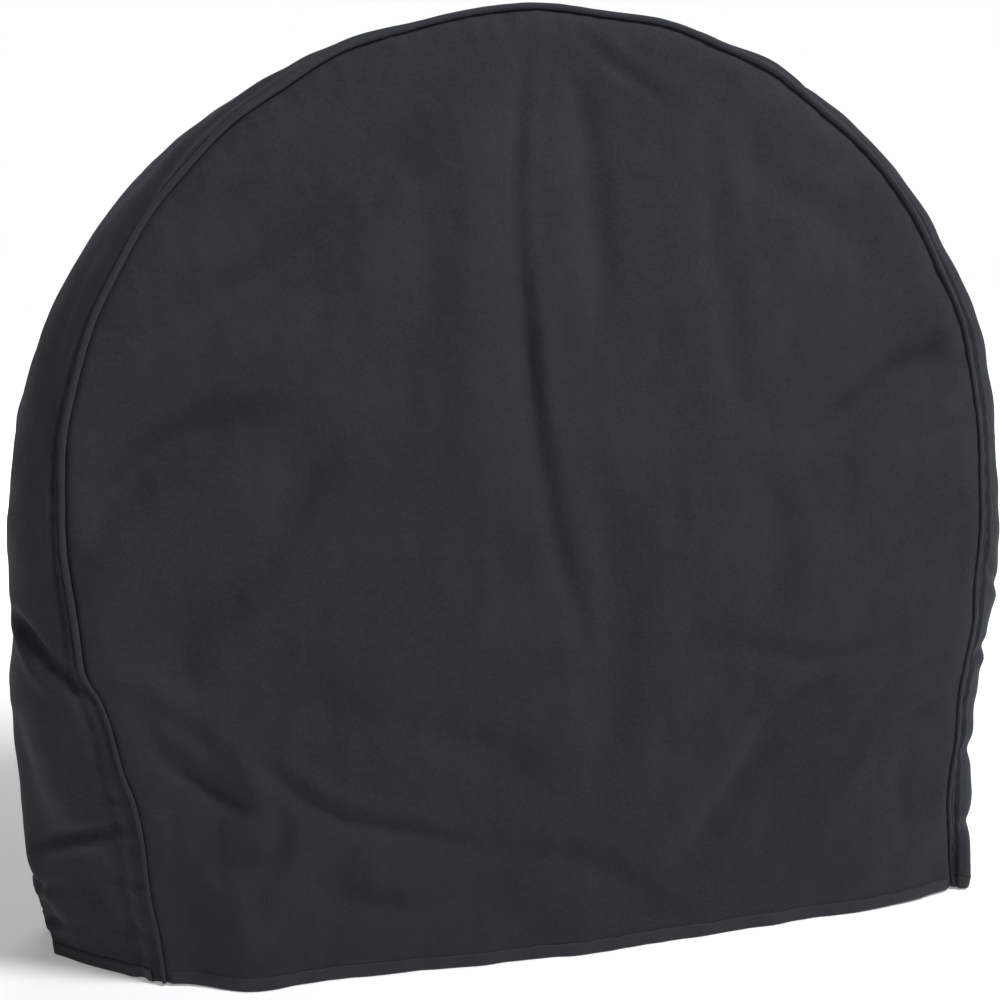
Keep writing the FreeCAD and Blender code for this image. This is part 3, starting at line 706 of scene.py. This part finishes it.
# Folds of the left (-1) and right (1) of the gusset: (half width, height, lip, path of height and distance
# from the front seam).
GUSSET_FOLDS = {
    -1: [
        (0.006, -0.0075, 0.003, [(0.214, -0.032), (0.234, -0.006), (0.258, 0.016),
            (0.282, 0.034), (0.305, 0.056), (0.318, 0.085)]),
        (0.016, 0.005, 0, [(0.245, 0.01), (0.222, 0.026), (0.19, 0.034), (0.155, 0.03), (0.12, 0.02)]),
        (0.005, -0.005, 0.0025, [(0.138, -0.03), (0.133, -0.006), (0.128, 0.016),
            (0.118, 0.04), (0.104, 0.07)]),
        (0.014, -0.0045, 0, [(0.24, 0.07), (0.19, 0.058), (0.14, 0.052), (0.095, 0.06)]),
        (0.011, -0.0045, 0, [(0.115, 0.02), (0.09, 0.026), (0.062, 0.022), (0.035, 0.006)]),
        (0.009, 0.004, 0, [(0.118, 0.075), (0.085, 0.062), (0.05, 0.048), (0.01, 0.04)]),
        (0.005, -0.004, 0.002, [(0.078, 0.04), (0.07, 0.065), (0.074, 0.11), (0.068, 0.17)]),
        (0.005, -0.0036, 0.0018, [(0.04, 0.035), (0.034, 0.07), (0.04, 0.11), (0.034, 0.16)]),
        (0.01, -0.0028, 0, [(0.35, -0.04), (0.42, 0.01), (0.5, 0.036), (0.6, 0.052)]),
        (0.009, -0.003, 0, [(0.52, -0.02), (0.6, 0.02), (0.7, 0.045), (0.8, 0.06)]),
        (0.012, -0.003, 0, [(0.6, 0.06), (0.72, 0.09), (0.86, 0.1)]),
        (0.01, -0.0032, 0, [(0.22, 0.26), (0.25, 0.2), (0.3, 0.16)]),
    ],
    1: [
        (0.006, -0.003, 0.0015, [(0.19, -0.032), (0.205, 0), (0.22, 0.034), (0.224, 0.09)]),
        (0.006, -0.0022, 0.001, [(0.31, -0.032), (0.295, 0), (0.281, 0.03), (0.272, 0.08)]),
        (0.01, -0.0035, 0, [(0.12, -0.03), (0.13, 0.03), (0.12, 0.09)]),
        (0.009, -0.003, 0, [(0.05, -0.03), (0.06, 0.05), (0.05, 0.12)]),
        (0.012, -0.0032, 0, [(0.35, 0.25), (0.42, 0.2), (0.5, 0.16)]),
        (0.01, -0.0028, 0, [(0.66, -0.01), (0.72, 0.05), (0.75, 0.11)]),
        (0.01, -0.0032, 0, [(0.18, 0.26), (0.2, 0.21), (0.26, 0.17)]),
    ],
}
# The gusset's turned-in edge: places along the seam's outward line.
FLANGE = (-0.012, -0.009, -0.006, -0.0035, -0.0015)
SHOULDER_CELLS = 34


def gusset_stations():
    """Across the gusset: outward offset, share of the way to the band, depth, and half (-1 front, 1 rear)."""
    turns = pi / 2 * np.linspace(0, 1, SHOULDER_CELLS + 1) ** 1.6  # closer together near the seams
    share = np.sin(turns)
    lead = 0.0013 * ease(turns / 0.12)
    reach = SHOULDER * (1 - np.cos(turns))
    flat = np.arange(GUSSET_FRONT + SHOULDER + STEP, GUSSET_BACK - SHOULDER - STEP / 2, STEP)
    zeros, edge = np.zeros(len(FLANGE)), np.array(FLANGE)
    offset = np.concatenate([edge, 0 * turns, 0 * flat, 0 * turns, edge[::-1]])
    shares = np.concatenate([zeros, share, 1 + 0 * flat, share[::-1], zeros])
    depth = np.concatenate(
        [
            zeros + GUSSET_FRONT + 0.0008,
            GUSSET_FRONT + 0.0008 + lead + reach,
            flat,
            (GUSSET_BACK - reach)[::-1],
            zeros + GUSSET_BACK,
        ]
    )
    half = np.concatenate([zeros - 1, 0 * turns - 1, 0 * flat, 0 * turns + 1, zeros + 1])
    return offset, shares, depth, half


def depth_from_middle(depth):
    """Depths of the band's flat part, drawn back until its front is at the middle."""
    first, last = GUSSET_FRONT + SHOULDER, GUSSET_BACK - SHOULDER
    return np.clip((depth - first) / (last - first), 0, 1) * last


def gusset_surface(w):
    """The gusset's outer face at each w, with the flat places of its points."""
    offset, share, depth, half = gusset_stations()
    front_line, rear_line, band = front_seam(w), rear_seam(w), band_line(w)
    ahead = (half <= 0)[None, :, None]
    seams = np.where(ahead, front_line[:, None], rear_line[:, None])
    out = np.where(ahead, frame_along(front_line)[:, None], frame_along(rear_line)[:, None])
    s = share[None, :, None]
    grid = seams * (1 - s) + band[:, None] * s + offset[None, :, None] * out
    home = np.where(half <= 0, SEAM_Y, BACK - CLOTH)
    grid[..., 1] = depth[None, :] + (seams[..., 1] - home[None, :]) * (1 - share[None, :])
    grid[..., 2] = np.maximum(grid[..., 2], FLOOR_GAP)
    run = w * LENGTH
    height = np.minimum(run, LENGTH - run)[:, None] + 0 * depth[None, :]
    straight = front_line[:, 1:2] * (1 - share) + (half == 0) * depth_from_middle(depth)
    slack = 0.8 * bell(height / 0.15) * (band[:, 0] < 0)[:, None] * (half <= 0)
    grid[..., 1] += slack * (straight - grid[..., 1]) * (offset >= 0)
    across = distances(grid[len(w) // 5])
    flat = np.stack(np.broadcast_arrays(run[:, None], across[None, :]), -1)
    normal = normals_of(grid)
    if normal[len(w) // 2, len(depth) // 2, 2] < 0:
        normal = -normal
    y = depth[None, :] + 0 * height
    from_front = across - across[len(FLANGE)] + 0 * height
    from_seam = np.minimum(across - across[len(FLANGE)], across[-len(FLANGE) - 1] - across)
    free = 1 - bell(np.maximum(from_seam, 0) / 0.010)  # 0 in the turned-in edges
    loose = 0.55 + 0.45 * bell(height / 0.38)  # pulled smoother over the arch
    relief = 0.0016 * ripples(run[:, None], y, 0.19, 21) + 0.0007 * ripples(run[:, None], y, 0.07, 22)
    relief = loose * relief + 0.0004 * ripples(run[:, None], 0.7 * y, 0.035, 23)
    for side, folds in GUSSET_FOLDS.items():
        relief += fold_relief(height, from_front, folds) * (np.sign(band[:, 0]) == side)[:, None]
    welt = 0.0016 * bell((from_front[0] - 0.0054) / 0.0020) - 0.0016 * bell((from_front[0] - 0.0098) / 0.0017)
    welt = welt + 0.0008 * bell((from_front[0] - 0.0140) / 0.0026)
    pucker = welt[None, :] * (1 + 0.25 * gathers(run, 0.02, 27)[:, None])
    pucker += 0.0005 * gathers(run, 0.016, 24)[:, None] * bell((from_seam - 0.008) / 0.008)[None, :]
    pucker += 0.0004 * gathers(run, 0.014, 25)[:, None] * bell((from_seam - 0.006) / 0.006)[None, :]
    foot_wave = 0.0010 * gathers(y, 0.05, 26) * bell(height / 0.035)
    grid = grid + normal * (free * (relief + foot_wave) + pucker * (from_seam > 0))[..., None]
    grid[..., 2] = np.maximum(grid[..., 2], FLOOR_GAP)
    return grid, flat


gusset_w = seam_places(STEP)
gusset_grid, gusset_flat = gusset_surface(gusset_w)
gusset = sheet_piece(
    "gusset_cloth", gusset_grid, gusset_flat, [shell, lining],
    inside=(0.0, 0.0, 0.30), slot="shell_cloth", node="side_gusset", thick=CLOTH,
)

# ---- Piping and seam bindings ----

trim_w = seam_places(0.0032)
front_line = front_seam(trim_w)
front_out = frame_along(front_line)
rear_line = rear_seam(trim_w)
rear_out = frame_along(rear_line)
Y_AXIS = np.array([[0.0, 1.0, 0.0]])
PIPING_R, CORD_R = 0.0023, 0.0011
trim_run = trim_w * LENGTH

show = soft(trim_w, PIPING_SHOW, 0.004)[:, None]
full = 0.4 + 0.6 * show[..., None]
uneven = 0.035 * gathers(trim_run, 0.02, 31) + 0.03 * gathers(trim_run, 0.2, 32)
piping_line = front_line + (0.0002 + 0.0018 * show) * front_out + (0.0012 - 0.0018 * show) * Y_AXIS
piping_section = ring(PIPING_R, 14)[None] * (1 + uneven[:, None, None]) * full
piping = tubes_piece(
    "piping_cloth_tube", [swept(piping_line, front_out, Y_AXIS, piping_section)], bias, caps=False,
    slot="piping_cloth", node="front_piping_cover", thick=0.0008,
)
cord_twist = 1 + 0.05 * np.sin(3 * np.arange(12) * 2 * pi / 12 + trim_run[:, None] * 900)
cord_section = ring(CORD_R, 12)[None] * cord_twist[..., None] * full
cord = tubes_piece(
    "piping_cord_filler", [swept(piping_line, front_out, Y_AXIS, cord_section)], cotton,
    slot="piping_filler", node="front_piping_cord",
)


def binding_tube(line, out, y_near, y_far):
    """Tape folded over a seam's raw edges, inside the cover."""
    middle, thick = (y_near + y_far) / 2, abs(y_far - y_near)
    section = rounded_loop(0.0092, thick, 0.0008) + [-ALLOWANCE + 0.0040, 0.0]
    pinch = 1 + 0.05 * gathers(trim_run, 0.02, 33)[:, None, None]
    centre = line.copy()
    centre[:, 1] += middle
    return swept(centre, out, Y_AXIS, section[None] * pinch)


front_binding = tubes_piece(
    "front_seam_tape", [binding_tube(front_line, front_out, 0.0002, 0.0048)], binding,
    slot="seam_tape", node="front_seam_binding",
)
rear_binding = tubes_piece(
    "rear_seam_tape", [binding_tube(rear_line, rear_out, -0.0026, 0.0)], binding,
    slot="seam_tape", node="rear_seam_binding",
)

# ---- Back panel, casing and elastic ----

back_w = seam_places(STEP)
back_run = back_w * LENGTH
back_seam = rear_seam(back_w)
back_out = frame_along(back_seam)
back_out[:, 2] *= ease(np.minimum(back_w, 1 - back_w) / LEG_SHARE)  # level with the floor at the feet
back_out = back_out / np.maximum(np.hypot(back_out[:, :1], back_out[:, 2:]), 1e-9)
STRAP_Z = (strap_low.z + strap_high.z) / 2


def strap_flat(x, z):
    """1 where a strap's patch holds the back panel flat, 0 away from it."""
    over = np.maximum(np.abs(z - STRAP_Z) - 0.026, 0) / 0.035
    beside = np.maximum(np.maximum(patch_low.x - 0.01 - np.abs(x), np.abs(x) - patch_high.x - 0.01), 0) / 0.04
    return bell(over) * bell(beside)


def back_relief(run, inset, x, z):
    """How far the gathered back panel stands out from its plane."""
    q = inset / BACK_BAND
    wide = gathers(run, 0.060, 41) * ease(q * 1.2)
    tight = gathers(run, 0.026, 42) * ease((q - 0.35) / 0.65)
    pull = -0.0035 * q**2 + 0.0012 * (1 - bell(inset / 0.012))
    sag = 0.0012 * ripples(x, z, 0.12, 43) * ease(inset / 0.03)
    flat = strap_flat(x, z)
    return (pull + sag + 0.0017 * wide + 0.0013 * tight) * (1 - flat) + flat * 0.0002


def back_cloth():
    """The back panel, from its seam inwards; its edge runs on into the casing."""
    start, inner = [0.0, 0.0008, 0.0018, 0.003, 0.005], np.arange(0.008, BACK_BAND - 0.001, STEP)
    inset = np.concatenate([start, inner, [BACK_BAND, BACK_BAND + 0.003]])
    grid = back_seam[:, None] - inset[None, :, None] * back_out[:, None]
    relief = back_relief(back_run[:, None], inset[None, :], grid[..., 0], grid[..., 2])
    curl = 0.0024 * np.clip(1 - inset / 0.004, 0, 1) ** 2
    pucker = 0.0004 * gathers(back_run, 0.015, 44)[:, None] * bell((inset - 0.006) / 0.008)[None, :]
    sway = (back_seam[:, 1] - BACK + CLOTH)[:, None] * bell(inset / 0.06)[None, :]
    pucker = pucker * (1 - strap_flat(grid[..., 0], grid[..., 2]))
    grid[..., 1] = BACK + sway + relief - curl[None, :] + pucker
    grid[..., 2] = np.maximum(grid[..., 2], FLOOR_GAP)
    flat = np.stack(np.broadcast_arrays(back_run[:, None], inset[None, :]), -1)
    return sheet_piece(
        "back_cloth", grid, flat, [shell, lining], inside=(0.0, 0.0, 0.36),
        slot="shell_cloth", node="back_panel", thick=CLOTH,
    )


back = back_cloth()


def casing_line():
    """The middle of the elastic casing, following the gathered edge of the back panel."""
    line = back_seam - (BACK_BAND + CASING_WIDTH / 2) * back_out
    edge = back_seam - BACK_BAND * back_out
    relief = back_relief(back_run, np.full(len(back_w), BACK_BAND), edge[:, 0], edge[:, 2])
    line[:, 1] = BACK - CASING_DEPTH / 2 + relief * 0.85 + 0.0007
    line[:, 2] = np.maximum(line[:, 2], FLOOR_GAP)
    return line


casing_middle = casing_line()
casing_pucker = gathers(back_run, 0.0105, 45) * 0.07 + gathers(back_run, 0.021, 46) * 0.06
casing_section = rounded_loop(CASING_WIDTH, CASING_DEPTH, 0.0028, 5)[None] * np.stack(
    [1 + 0.4 * casing_pucker, 1 + 1.5 * casing_pucker], -1
)[:, None]
casing = tubes_piece(
    "casing_cloth", [swept(casing_middle, back_out, Y_AXIS, casing_section)], shell, caps=False,
    slot="shell_cloth", node="elastic_casing", thick=0.0009,
)
above_hem = casing_middle[:, 2] > HEM + 0.001
elastic_section = rounded_loop(0.0115, 0.0018, 0.0006, 3)
elastic_band = tubes_piece(
    "elastic_strip", [swept(casing_middle[above_hem], back_out[above_hem], Y_AXIS, elastic_section)], elastic,
    slot="elastic_band", node="rear_elastic",
)

# ---- Hem tapes ----


def hem_section(thick, height):
    """Tape folded under an edge: across the cloth, then up; the cloth's outer face is at 0."""
    out, under, clear = HEM_TAPE, 0.0006, 0.0001
    back, inner = -thick - out, -thick - clear
    outside = [(back, height), (back, height / 2), (back, under), (-thick - out * 0.4, -under * 0.4)]
    fold = [(-thick / 2, -under * 0.8), (out * 0.4, -under * 0.4), (out, under)]
    face = [(out, height / 3), (out, height * 0.7), (out * 0.8, height), (clear, height + clear)]
    return np.array([*outside, *fold, *face, (clear, under * 3), (inner, under * 3), (inner, height)])


def hem_tube(edge, upper, out, seed):
    """Tape along an edge, leaning with the cloth above it (upper: the cloth a little higher)."""
    run = distances(edge)
    wave = 0.0004 * gathers(run, 0.03, seed)
    up = unit(upper - edge)
    section = np.tile(hem_section(CLOTH, HEM)[None], (len(edge), 1, 1))
    section[..., 1] += np.where(section[0, :, 1] > HEM * 0.6, wave[:, None], 0.0)
    base = edge.copy()
    base[:, 2] = np.maximum(base[:, 2] - 0.0002, FLOOR_GAP)
    return swept(base, out, up, section)


foot_x = np.arange(-FOOT_X + HEM_CLEAR, FOOT_X - HEM_CLEAR, 0.003)
front_edge = panel_surface(foot_x, 0 * foot_x)
front_upper = panel_surface(foot_x, 0 * foot_x + HEM)
edge_run = unit(np.gradient(front_edge, axis=0))
front_edge_out = unit(np.cross(edge_run, [0.0, 0.0, 1.0]))
front_hem = tubes_piece(
    "front_hem", [hem_tube(front_edge, front_upper, front_edge_out, 51)], tape,
    slot="hem_tape", node="front_hem_tape",
)

_, share, depth, _ = gusset_stations()
hem_columns = (share > 0.08) & (depth < GUSSET_BACK - HEM_CLEAR)
side_edges = []
for row, above, sign in ((0, 3, -1.0), (-1, -4, 1.0)):
    edge, upper = gusset_grid[row][hem_columns], gusset_grid[above][hem_columns]
    out = unit(np.cross([0.0, 0.0, 1.0], unit(np.gradient(edge, axis=0))))
    side_edges.append((edge, upper, out * np.sign(out[:, 0].sum()) * sign))
side_hem = tubes_piece(
    "side_hems", [hem_tube(edge, upper, out, 52) for edge, upper, out in side_edges], tape,
    slot="hem_tape", node="side_hem_tapes",
)


def back_foot(side, level):
    """The foot of the back panel's left (-1) or right (1) leg, from its seam inwards, at a level."""
    reach = np.arange(HEM_CLEAR, BACK_BAND - HEM_CLEAR, 0.003)
    w = (side + 1) / 2
    x = rear_seam(np.array([w]))[0, 0] - side * reach
    z = np.full(x.shape, level)
    return np.stack([x, BACK + back_relief(np.full(x.shape, w * LENGTH), reach, x, z), z], -1)


back_edges = []
for side in (-1, 1):
    edge = back_foot(side, FLOOR_GAP)
    back_edges.append(hem_tube(edge, edge + [0.0, 0.0, HEM], np.tile(Y_AXIS, (len(edge), 1)), 53))
back_hem = tubes_piece("back_hems", back_edges, tape, slot="hem_tape", node="back_hem_tapes")

# ---- Stitching ----

rows = []
stitch_height = HEM * 0.72
stitch_line = front_edge + front_edge_out * HEM_TAPE + unit(front_upper - front_edge) * stitch_height
rows += stitches(stitch_line, front_edge_out)
for edge, upper, out in side_edges:
    rows += stitches(edge + out * HEM_TAPE + unit(upper - edge) * stitch_height, out)
for side in (-1, 1):
    line = back_foot(side, 0.0) + [0.0, HEM_TAPE, stitch_height]
    rows += stitches(line, np.tile(Y_AXIS, (len(line), 1)))
hem_thread = tubes_piece("hem_stitches", rows, thread, slot="thread")

seam_inset = np.full(len(back_w), BACK_BAND - 0.0035)
casing_edge = back_seam - seam_inset[:, None] * back_out
casing_edge[:, 1] = BACK + 0.0002 + back_relief(back_run, seam_inset, casing_edge[:, 0], casing_edge[:, 2])
keep = casing_edge[:, 2] > 0.012
casing_thread = tubes_piece(
    "casing_stitches", stitches(casing_edge[keep], np.tile(Y_AXIS, (keep.sum(), 1))), thread, slot="thread",
)

# ---- Strap patches, webbing and tacks ----

STRAP_HALF = (strap_high.z - strap_low.z) / 2
STRAP_THICK = 0.0016
STRAP_END = strap_high.x
BAR_RADIUS, RUNNING_GAP = 0.0015, 0.0001
STRAP_LAP = BAR_RADIUS + RUNNING_GAP + STRAP_THICK / 2
PATCH_THICK = patch_high.y - patch_low.y
BUCKLE_Y = BACK + PATCH_THICK + STRAP_THICK / 2 + STRAP_LAP
BUCKLE_X = socket_high.x
SOCKET_BAR = BUCKLE_X - 0.0355
PLUG_BAR = BUCKLE_X + 0.010
TAIL_END = BUCKLE_X + 0.120


def patch(name, node):
    """A patch with rounded corners, laid on the back panel, thinner at its edge and along its stitches."""
    low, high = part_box(node)
    wide, tall = high.x - low.x, high.z - low.z
    mid_x, mid_z, corner = (low.x + high.x) / 2, (low.z + high.z) / 2, 0.005
    u, v = np.linspace(0, 1, 41), np.linspace(0, 1, 33)
    x, z = np.meshgrid(u * wide - wide / 2, v * tall - tall / 2, indexing="ij")
    dx = np.maximum(np.abs(x) - wide / 2 + corner, 0)
    dz = np.maximum(np.abs(z) - tall / 2 + corner, 0)
    over = np.maximum(np.hypot(dx, dz) / corner, 1.0)
    x = mid_x + np.sign(x) * (np.abs(x) - dx + dx / over)
    z = mid_z + np.sign(z) * (np.abs(z) - dz + dz / over)
    edge = np.minimum(np.minimum(u, 1 - u)[:, None] * wide, np.minimum(v, 1 - v)[None, :] * tall)
    thick = ease(edge / 0.0022 + 0.15) - 0.28 * bell((edge - 0.0052) / 0.0012)
    y = BACK + 0.0003 + PATCH_THICK * thick + 0.00015 * ripples(x, z, 0.012, 61)
    flat = np.stack([x - low.x, z - low.z], -1)
    return sheet_piece(
        name, np.stack([x, y, z], -1), flat, shell, inside=(0.0, 0.0, STRAP_Z),
        slot="shell_cloth", node=node, thick=0.0011,
    )


left_patch, right_patch = patch("left_patch", "left_strap_patch"), patch("right_patch", "right_strap_patch")


def turn_points(centre, radius, start, end, count):
    """Points round a centre, from one angle to another in degrees."""
    angle = np.radians(np.linspace(start, end, count))
    return [(centre[0] + radius * cos(a), centre[1] + radius * sin(a)) for a in angle]


def run_points(a, b, count):
    """Points on a straight run."""
    return [(a[0] + (b[0] - a[0]) * t, a[1] + (b[1] - a[1]) * t) for t in np.linspace(0, 1, count)]


def webbing_grid(path):
    """Webbing along a path of x and y: a flat section with thick selvedges, on edge."""
    path = np.array(path)
    path = path[np.append(True, np.linalg.norm(np.diff(path, axis=0), axis=1) > 1e-5)]
    centre = np.stack([path[:, 0], path[:, 1], np.full(len(path), STRAP_Z)], -1)
    run = unit(np.gradient(centre, axis=0))
    side = unit(np.cross([0.0, 0.0, 1.0], run))
    z = np.concatenate([np.linspace(-1, 1, 23), np.linspace(1, -1, 23)]) * STRAP_HALF
    sign = np.concatenate([np.ones(23), -np.ones(23)])
    edge = STRAP_HALF - np.abs(z)
    groove = 0.92 - 0.16 * bell((edge - 0.0030) / 0.0006)
    thick = STRAP_THICK / 2 * groove * np.sqrt(np.clip(edge / 0.0007, 0.02, 1))
    section = np.stack([z, sign * thick], -1)
    return swept(centre, [[0.0, 0.0, 1.0]], side, section)


lap_y = BUCKLE_Y - STRAP_LAP
ply_y = lap_y + STRAP_THICK + RUNNING_GAP / 2
bend = (SOCKET_BAR - 0.009, ply_y)
reach = np.array(bend) - np.array((SOCKET_BAR, BUCKLE_Y))
leave = 180 - np.degrees(np.arctan2(reach[1], -reach[0]) + np.arccos(STRAP_LAP / np.hypot(*reach)))
socket_path = (
    run_points((-STRAP_END, lap_y), (SOCKET_BAR, lap_y), 110)
    + turn_points((SOCKET_BAR, BUCKLE_Y), STRAP_LAP, -90, leave, 18)
    + run_points(bend, (SOCKET_BAR - 0.045, ply_y), 16)
)
tail_y, tail_turn = lap_y + STRAP_THICK + RUNNING_GAP, 0.001
rise = tail_y - BUCKLE_Y + tail_turn
span = sqrt((STRAP_LAP + tail_turn) ** 2 - rise**2)
meet = np.degrees(np.arctan2(rise, span))
plug_path = (
    run_points((STRAP_END, lap_y), (PLUG_BAR, lap_y), 110)
    + turn_points((PLUG_BAR, BUCKLE_Y), STRAP_LAP, 270, meet, 20)
    + turn_points((PLUG_BAR + span, BUCKLE_Y + rise), tail_turn, 180 + meet, 270, 7)[1:]
    + run_points((PLUG_BAR + span, tail_y), (TAIL_END, tail_y), 44)
)
for name, path, node in (
    ("socket_webbing", socket_path, "socket_strap"),
    ("plug_webbing", plug_path, "plug_strap"),
):
    tubes_piece(name, [webbing_grid(path)], webbing, slot="webbing", node=node)


def tack(x, y, half, width=0.0018, count=34):
    """Dense zigzag stitching across a strap."""
    z = STRAP_Z + np.linspace(-half, half, count)
    xs = x + width / 2 * np.where(np.arange(count) % 2, 1, -1)
    line = curve_through(np.stack([xs, np.full(count, y + 0.0003), z], -1), 3)
    side = unit(np.cross(unit(np.gradient(line, axis=0)), Y_AXIS))
    return swept(line, side, Y_AXIS, ring(0.00036, 6))


tack_low, tack_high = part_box("bar_tacks")
tack_half = (tack_high.z - tack_low.z) / 2
strap_top = lap_y + STRAP_THICK / 2 - 0.0001
tacks = [tack(side * (STRAP_END - gap), strap_top, tack_half) for side in (-1, 1) for gap in (0.006, 0.044)]
tacks += [tack(SOCKET_BAR - gap, strap_top + STRAP_THICK, tack_half) for gap in (0.016, 0.038)]
tubes_piece("tack_threads", tacks, thread, slot="thread", node="bar_tacks")


def seams_on(corners, y):
    """Stitches from each corner (x, z) to the next, on a face at y."""
    found = []
    for a, b in zip(corners, corners[1:]):
        line = np.stack([np.linspace(a[0], b[0], 12), np.full(12, y), np.linspace(a[1], b[1], 12)], -1)
        found += stitches(line, np.tile(Y_AXIS, (12, 1)), 0.0036, 0.0026)
    return found


PATCH_SEAM = 0.0032  # in from the patch's edge
rows = []
for side in (-1, 1):
    x0, x1 = side * (STRAP_END - 0.009), side * (STRAP_END - 0.041)
    z0, z1 = STRAP_Z - 0.0095, STRAP_Z + 0.0095
    for a, b in (((x0, z0), (x1, z0)), ((x0, z1), (x1, z1)), ((x0, z0), (x1, z1)), ((x0, z1), (x1, z0))):
        rows += seams_on([a, b], strap_top + 0.0001)
    low, high = (patch_low, patch_high) if side > 0 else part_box("left_strap_patch")
    x0, x1, z0, z1 = low.x + PATCH_SEAM, high.x - PATCH_SEAM, low.z + PATCH_SEAM, high.z - PATCH_SEAM
    rows += seams_on([(x0, z0), (x1, z0), (x1, z1), (x0, z1), (x0, z0)], BACK + PATCH_THICK + 0.0001)
patch_thread = tubes_piece("patch_stitches", rows, thread, slot="thread")

# ---- Label ----

label_low, label_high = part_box("care_label")
label_wide, label_tall = label_high.x - label_low.x, label_high.z - label_low.z
u, v = np.linspace(0, 1, 17), np.linspace(0, 1, 27)
x, z = np.meshgrid(label_low.x + u * label_wide, label_low.z + v * label_tall, indexing="ij")
hang = 1 - v[None, :]
lift = 0.0006 + 0.004 * hang**2 + 0.0014 * np.sin(u * 5.0)[:, None] * hang
label_grid = np.stack([x, label_low.y - lift - 0.0012, z], -1)
label = sheet_piece(
    "blank_label", label_grid, np.stack([x, z], -1), satin, inside=(0.0, 0.5, 0.3),
    slot="label_satin", node="care_label", thick=0.0003,
)

# ---- Kept frame parts ----

for name in ("buckle_socket", "buckle_plug", "upper_prong", "lower_prong", "strap_keeper"):
    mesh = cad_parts[name].data
    mesh.materials.clear()
    mesh.materials.append(nylon)

# ---- The patches' boxes, read again but not used ----

for cut, node in ((left_patch, "left_strap_patch"), (right_patch, "right_strap_patch")):
    low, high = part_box(node)

# ---- Studio ----


def glowing_paper(name, colour):
    n = Nodes(name)
    place = n.place(kind="Object")
    tone = n.mix(n.noise(place, 3.0, 3.0), shade(colour, 0.985), shade(colour, 1.0))
    # The floor glows, a painted light: emission 0.25 near the cover, rising to full white 2.4 m out, lifts
    # the floor's shadow, lights the cover from below and whitens the far floor.
    away = n.add("ShaderNodeVectorMath", operation="LENGTH")
    n.link(place, away.inputs[0])
    n.shader.inputs["Emission Color"].default_value = (1.0, 1.0, 1.0, 1.0)
    n.link(n.spread(away.outputs["Value"], 0.7, 2.4, 0.25), n.shader.inputs["Emission Strength"])
    return n.finish(tone, 0.9, n.bump(n.noise(place, 400.0), 0.0001, 0.1), 0.0, 0.1)


def studio_floor():
    reach = 9.0
    places = np.linspace(-reach, reach, 13)
    points = [(x, y, 0.0) for x in places for y in places]
    faces, _ = grid_faces(13, 13)
    mesh = bpy.data.meshes.new("studio_floor")
    mesh.from_pydata(points, [], [f[::-1] for f in faces])
    floor = bpy.data.objects.new("studio_floor", mesh)
    bpy.context.scene.collection.objects.link(floor)
    mesh.materials.append(glowing_paper("glowing_studio_paper", (0.93, 0.93, 0.93)))


def area_light(name, place, target, size, power, colour=(1.0, 1.0, 1.0)):
    lamp = bpy.data.lights.new(name, "AREA")
    lamp.shape = "RECTANGLE"
    lamp.size, lamp.size_y = size
    lamp.energy = power
    lamp.color = colour
    obj = bpy.data.objects.new(name, lamp)
    obj.location = place
    obj.rotation_mode = "QUATERNION"
    obj.rotation_quaternion = (Vector(target) - Vector(place)).to_track_quat("-Z", "Y")
    bpy.context.scene.collection.objects.link(obj)


def world_light(strength):
    """A plain white surround, brighter to the camera than as a light."""
    world = bpy.data.worlds.new("studio_white")
    bpy.context.scene.world = world
    world.use_nodes = True
    nodes, links = world.node_tree.nodes, world.node_tree.links
    background = nodes["Background"]
    path, level = nodes.new("ShaderNodeLightPath"), nodes.new("ShaderNodeMapRange")
    level.inputs["To Min"].default_value, level.inputs["To Max"].default_value = strength, 1.0
    links.new(path.outputs["Is Camera Ray"], level.inputs["Value"])
    links.new(level.outputs[0], background.inputs["Strength"])
    background.inputs["Color"].default_value = (1.0, 1.0, 1.0, 1.0)


def photo_camera():
    azimuth, elevation, roll, away = radians(-14.0), radians(7.7), radians(-1.0), 1.5
    back_axis = Vector((sin(azimuth) * cos(elevation), -cos(azimuth) * cos(elevation), sin(elevation)))
    right = Vector((cos(azimuth), sin(azimuth), 0.0))
    up = back_axis.cross(right)
    right, up = right * cos(roll) + up * sin(roll), up * cos(roll) - right * sin(roll)
    lens = bpy.data.cameras.new("camera")
    lens.lens, lens.sensor_width = 66.1, 36.0
    lens.shift_x, lens.shift_y = -0.0138, -0.0487
    lens.clip_end = 100.0
    camera = bpy.data.objects.new("camera", lens)
    place = Vector((0.0, 0.0, 0.380)) + back_axis * away
    turned = Matrix((right, up, back_axis)).transposed().to_4x4()
    camera.matrix_world = Matrix.Translation(place) @ turned
    bpy.context.scene.collection.objects.link(camera)
    bpy.context.scene.camera = camera


studio_floor()
world_light(0.13)
area_light("key", (1.05, -1.45, 2.70), (0.0, 0.0, 0.40), (0.8, 0.8), 86.0)
area_light("top", (0.6, -1.2, 2.8), (0.0, 0.0, 0.30), (1.2, 1.0), 8.0, (0.70, 0.90, 1.0))
area_light("fill", (-2.4, -1.6, 1.2), (0.0, 0.0, 0.35), (1.6, 1.6), 0.3)
area_light("rear", (0.9, 3.4, 0.9), (0.0, 0.1, 0.35), (2.0, 1.0), 62.0)
photo_camera()
bpy.context.scene.view_settings.view_transform = "Standard"
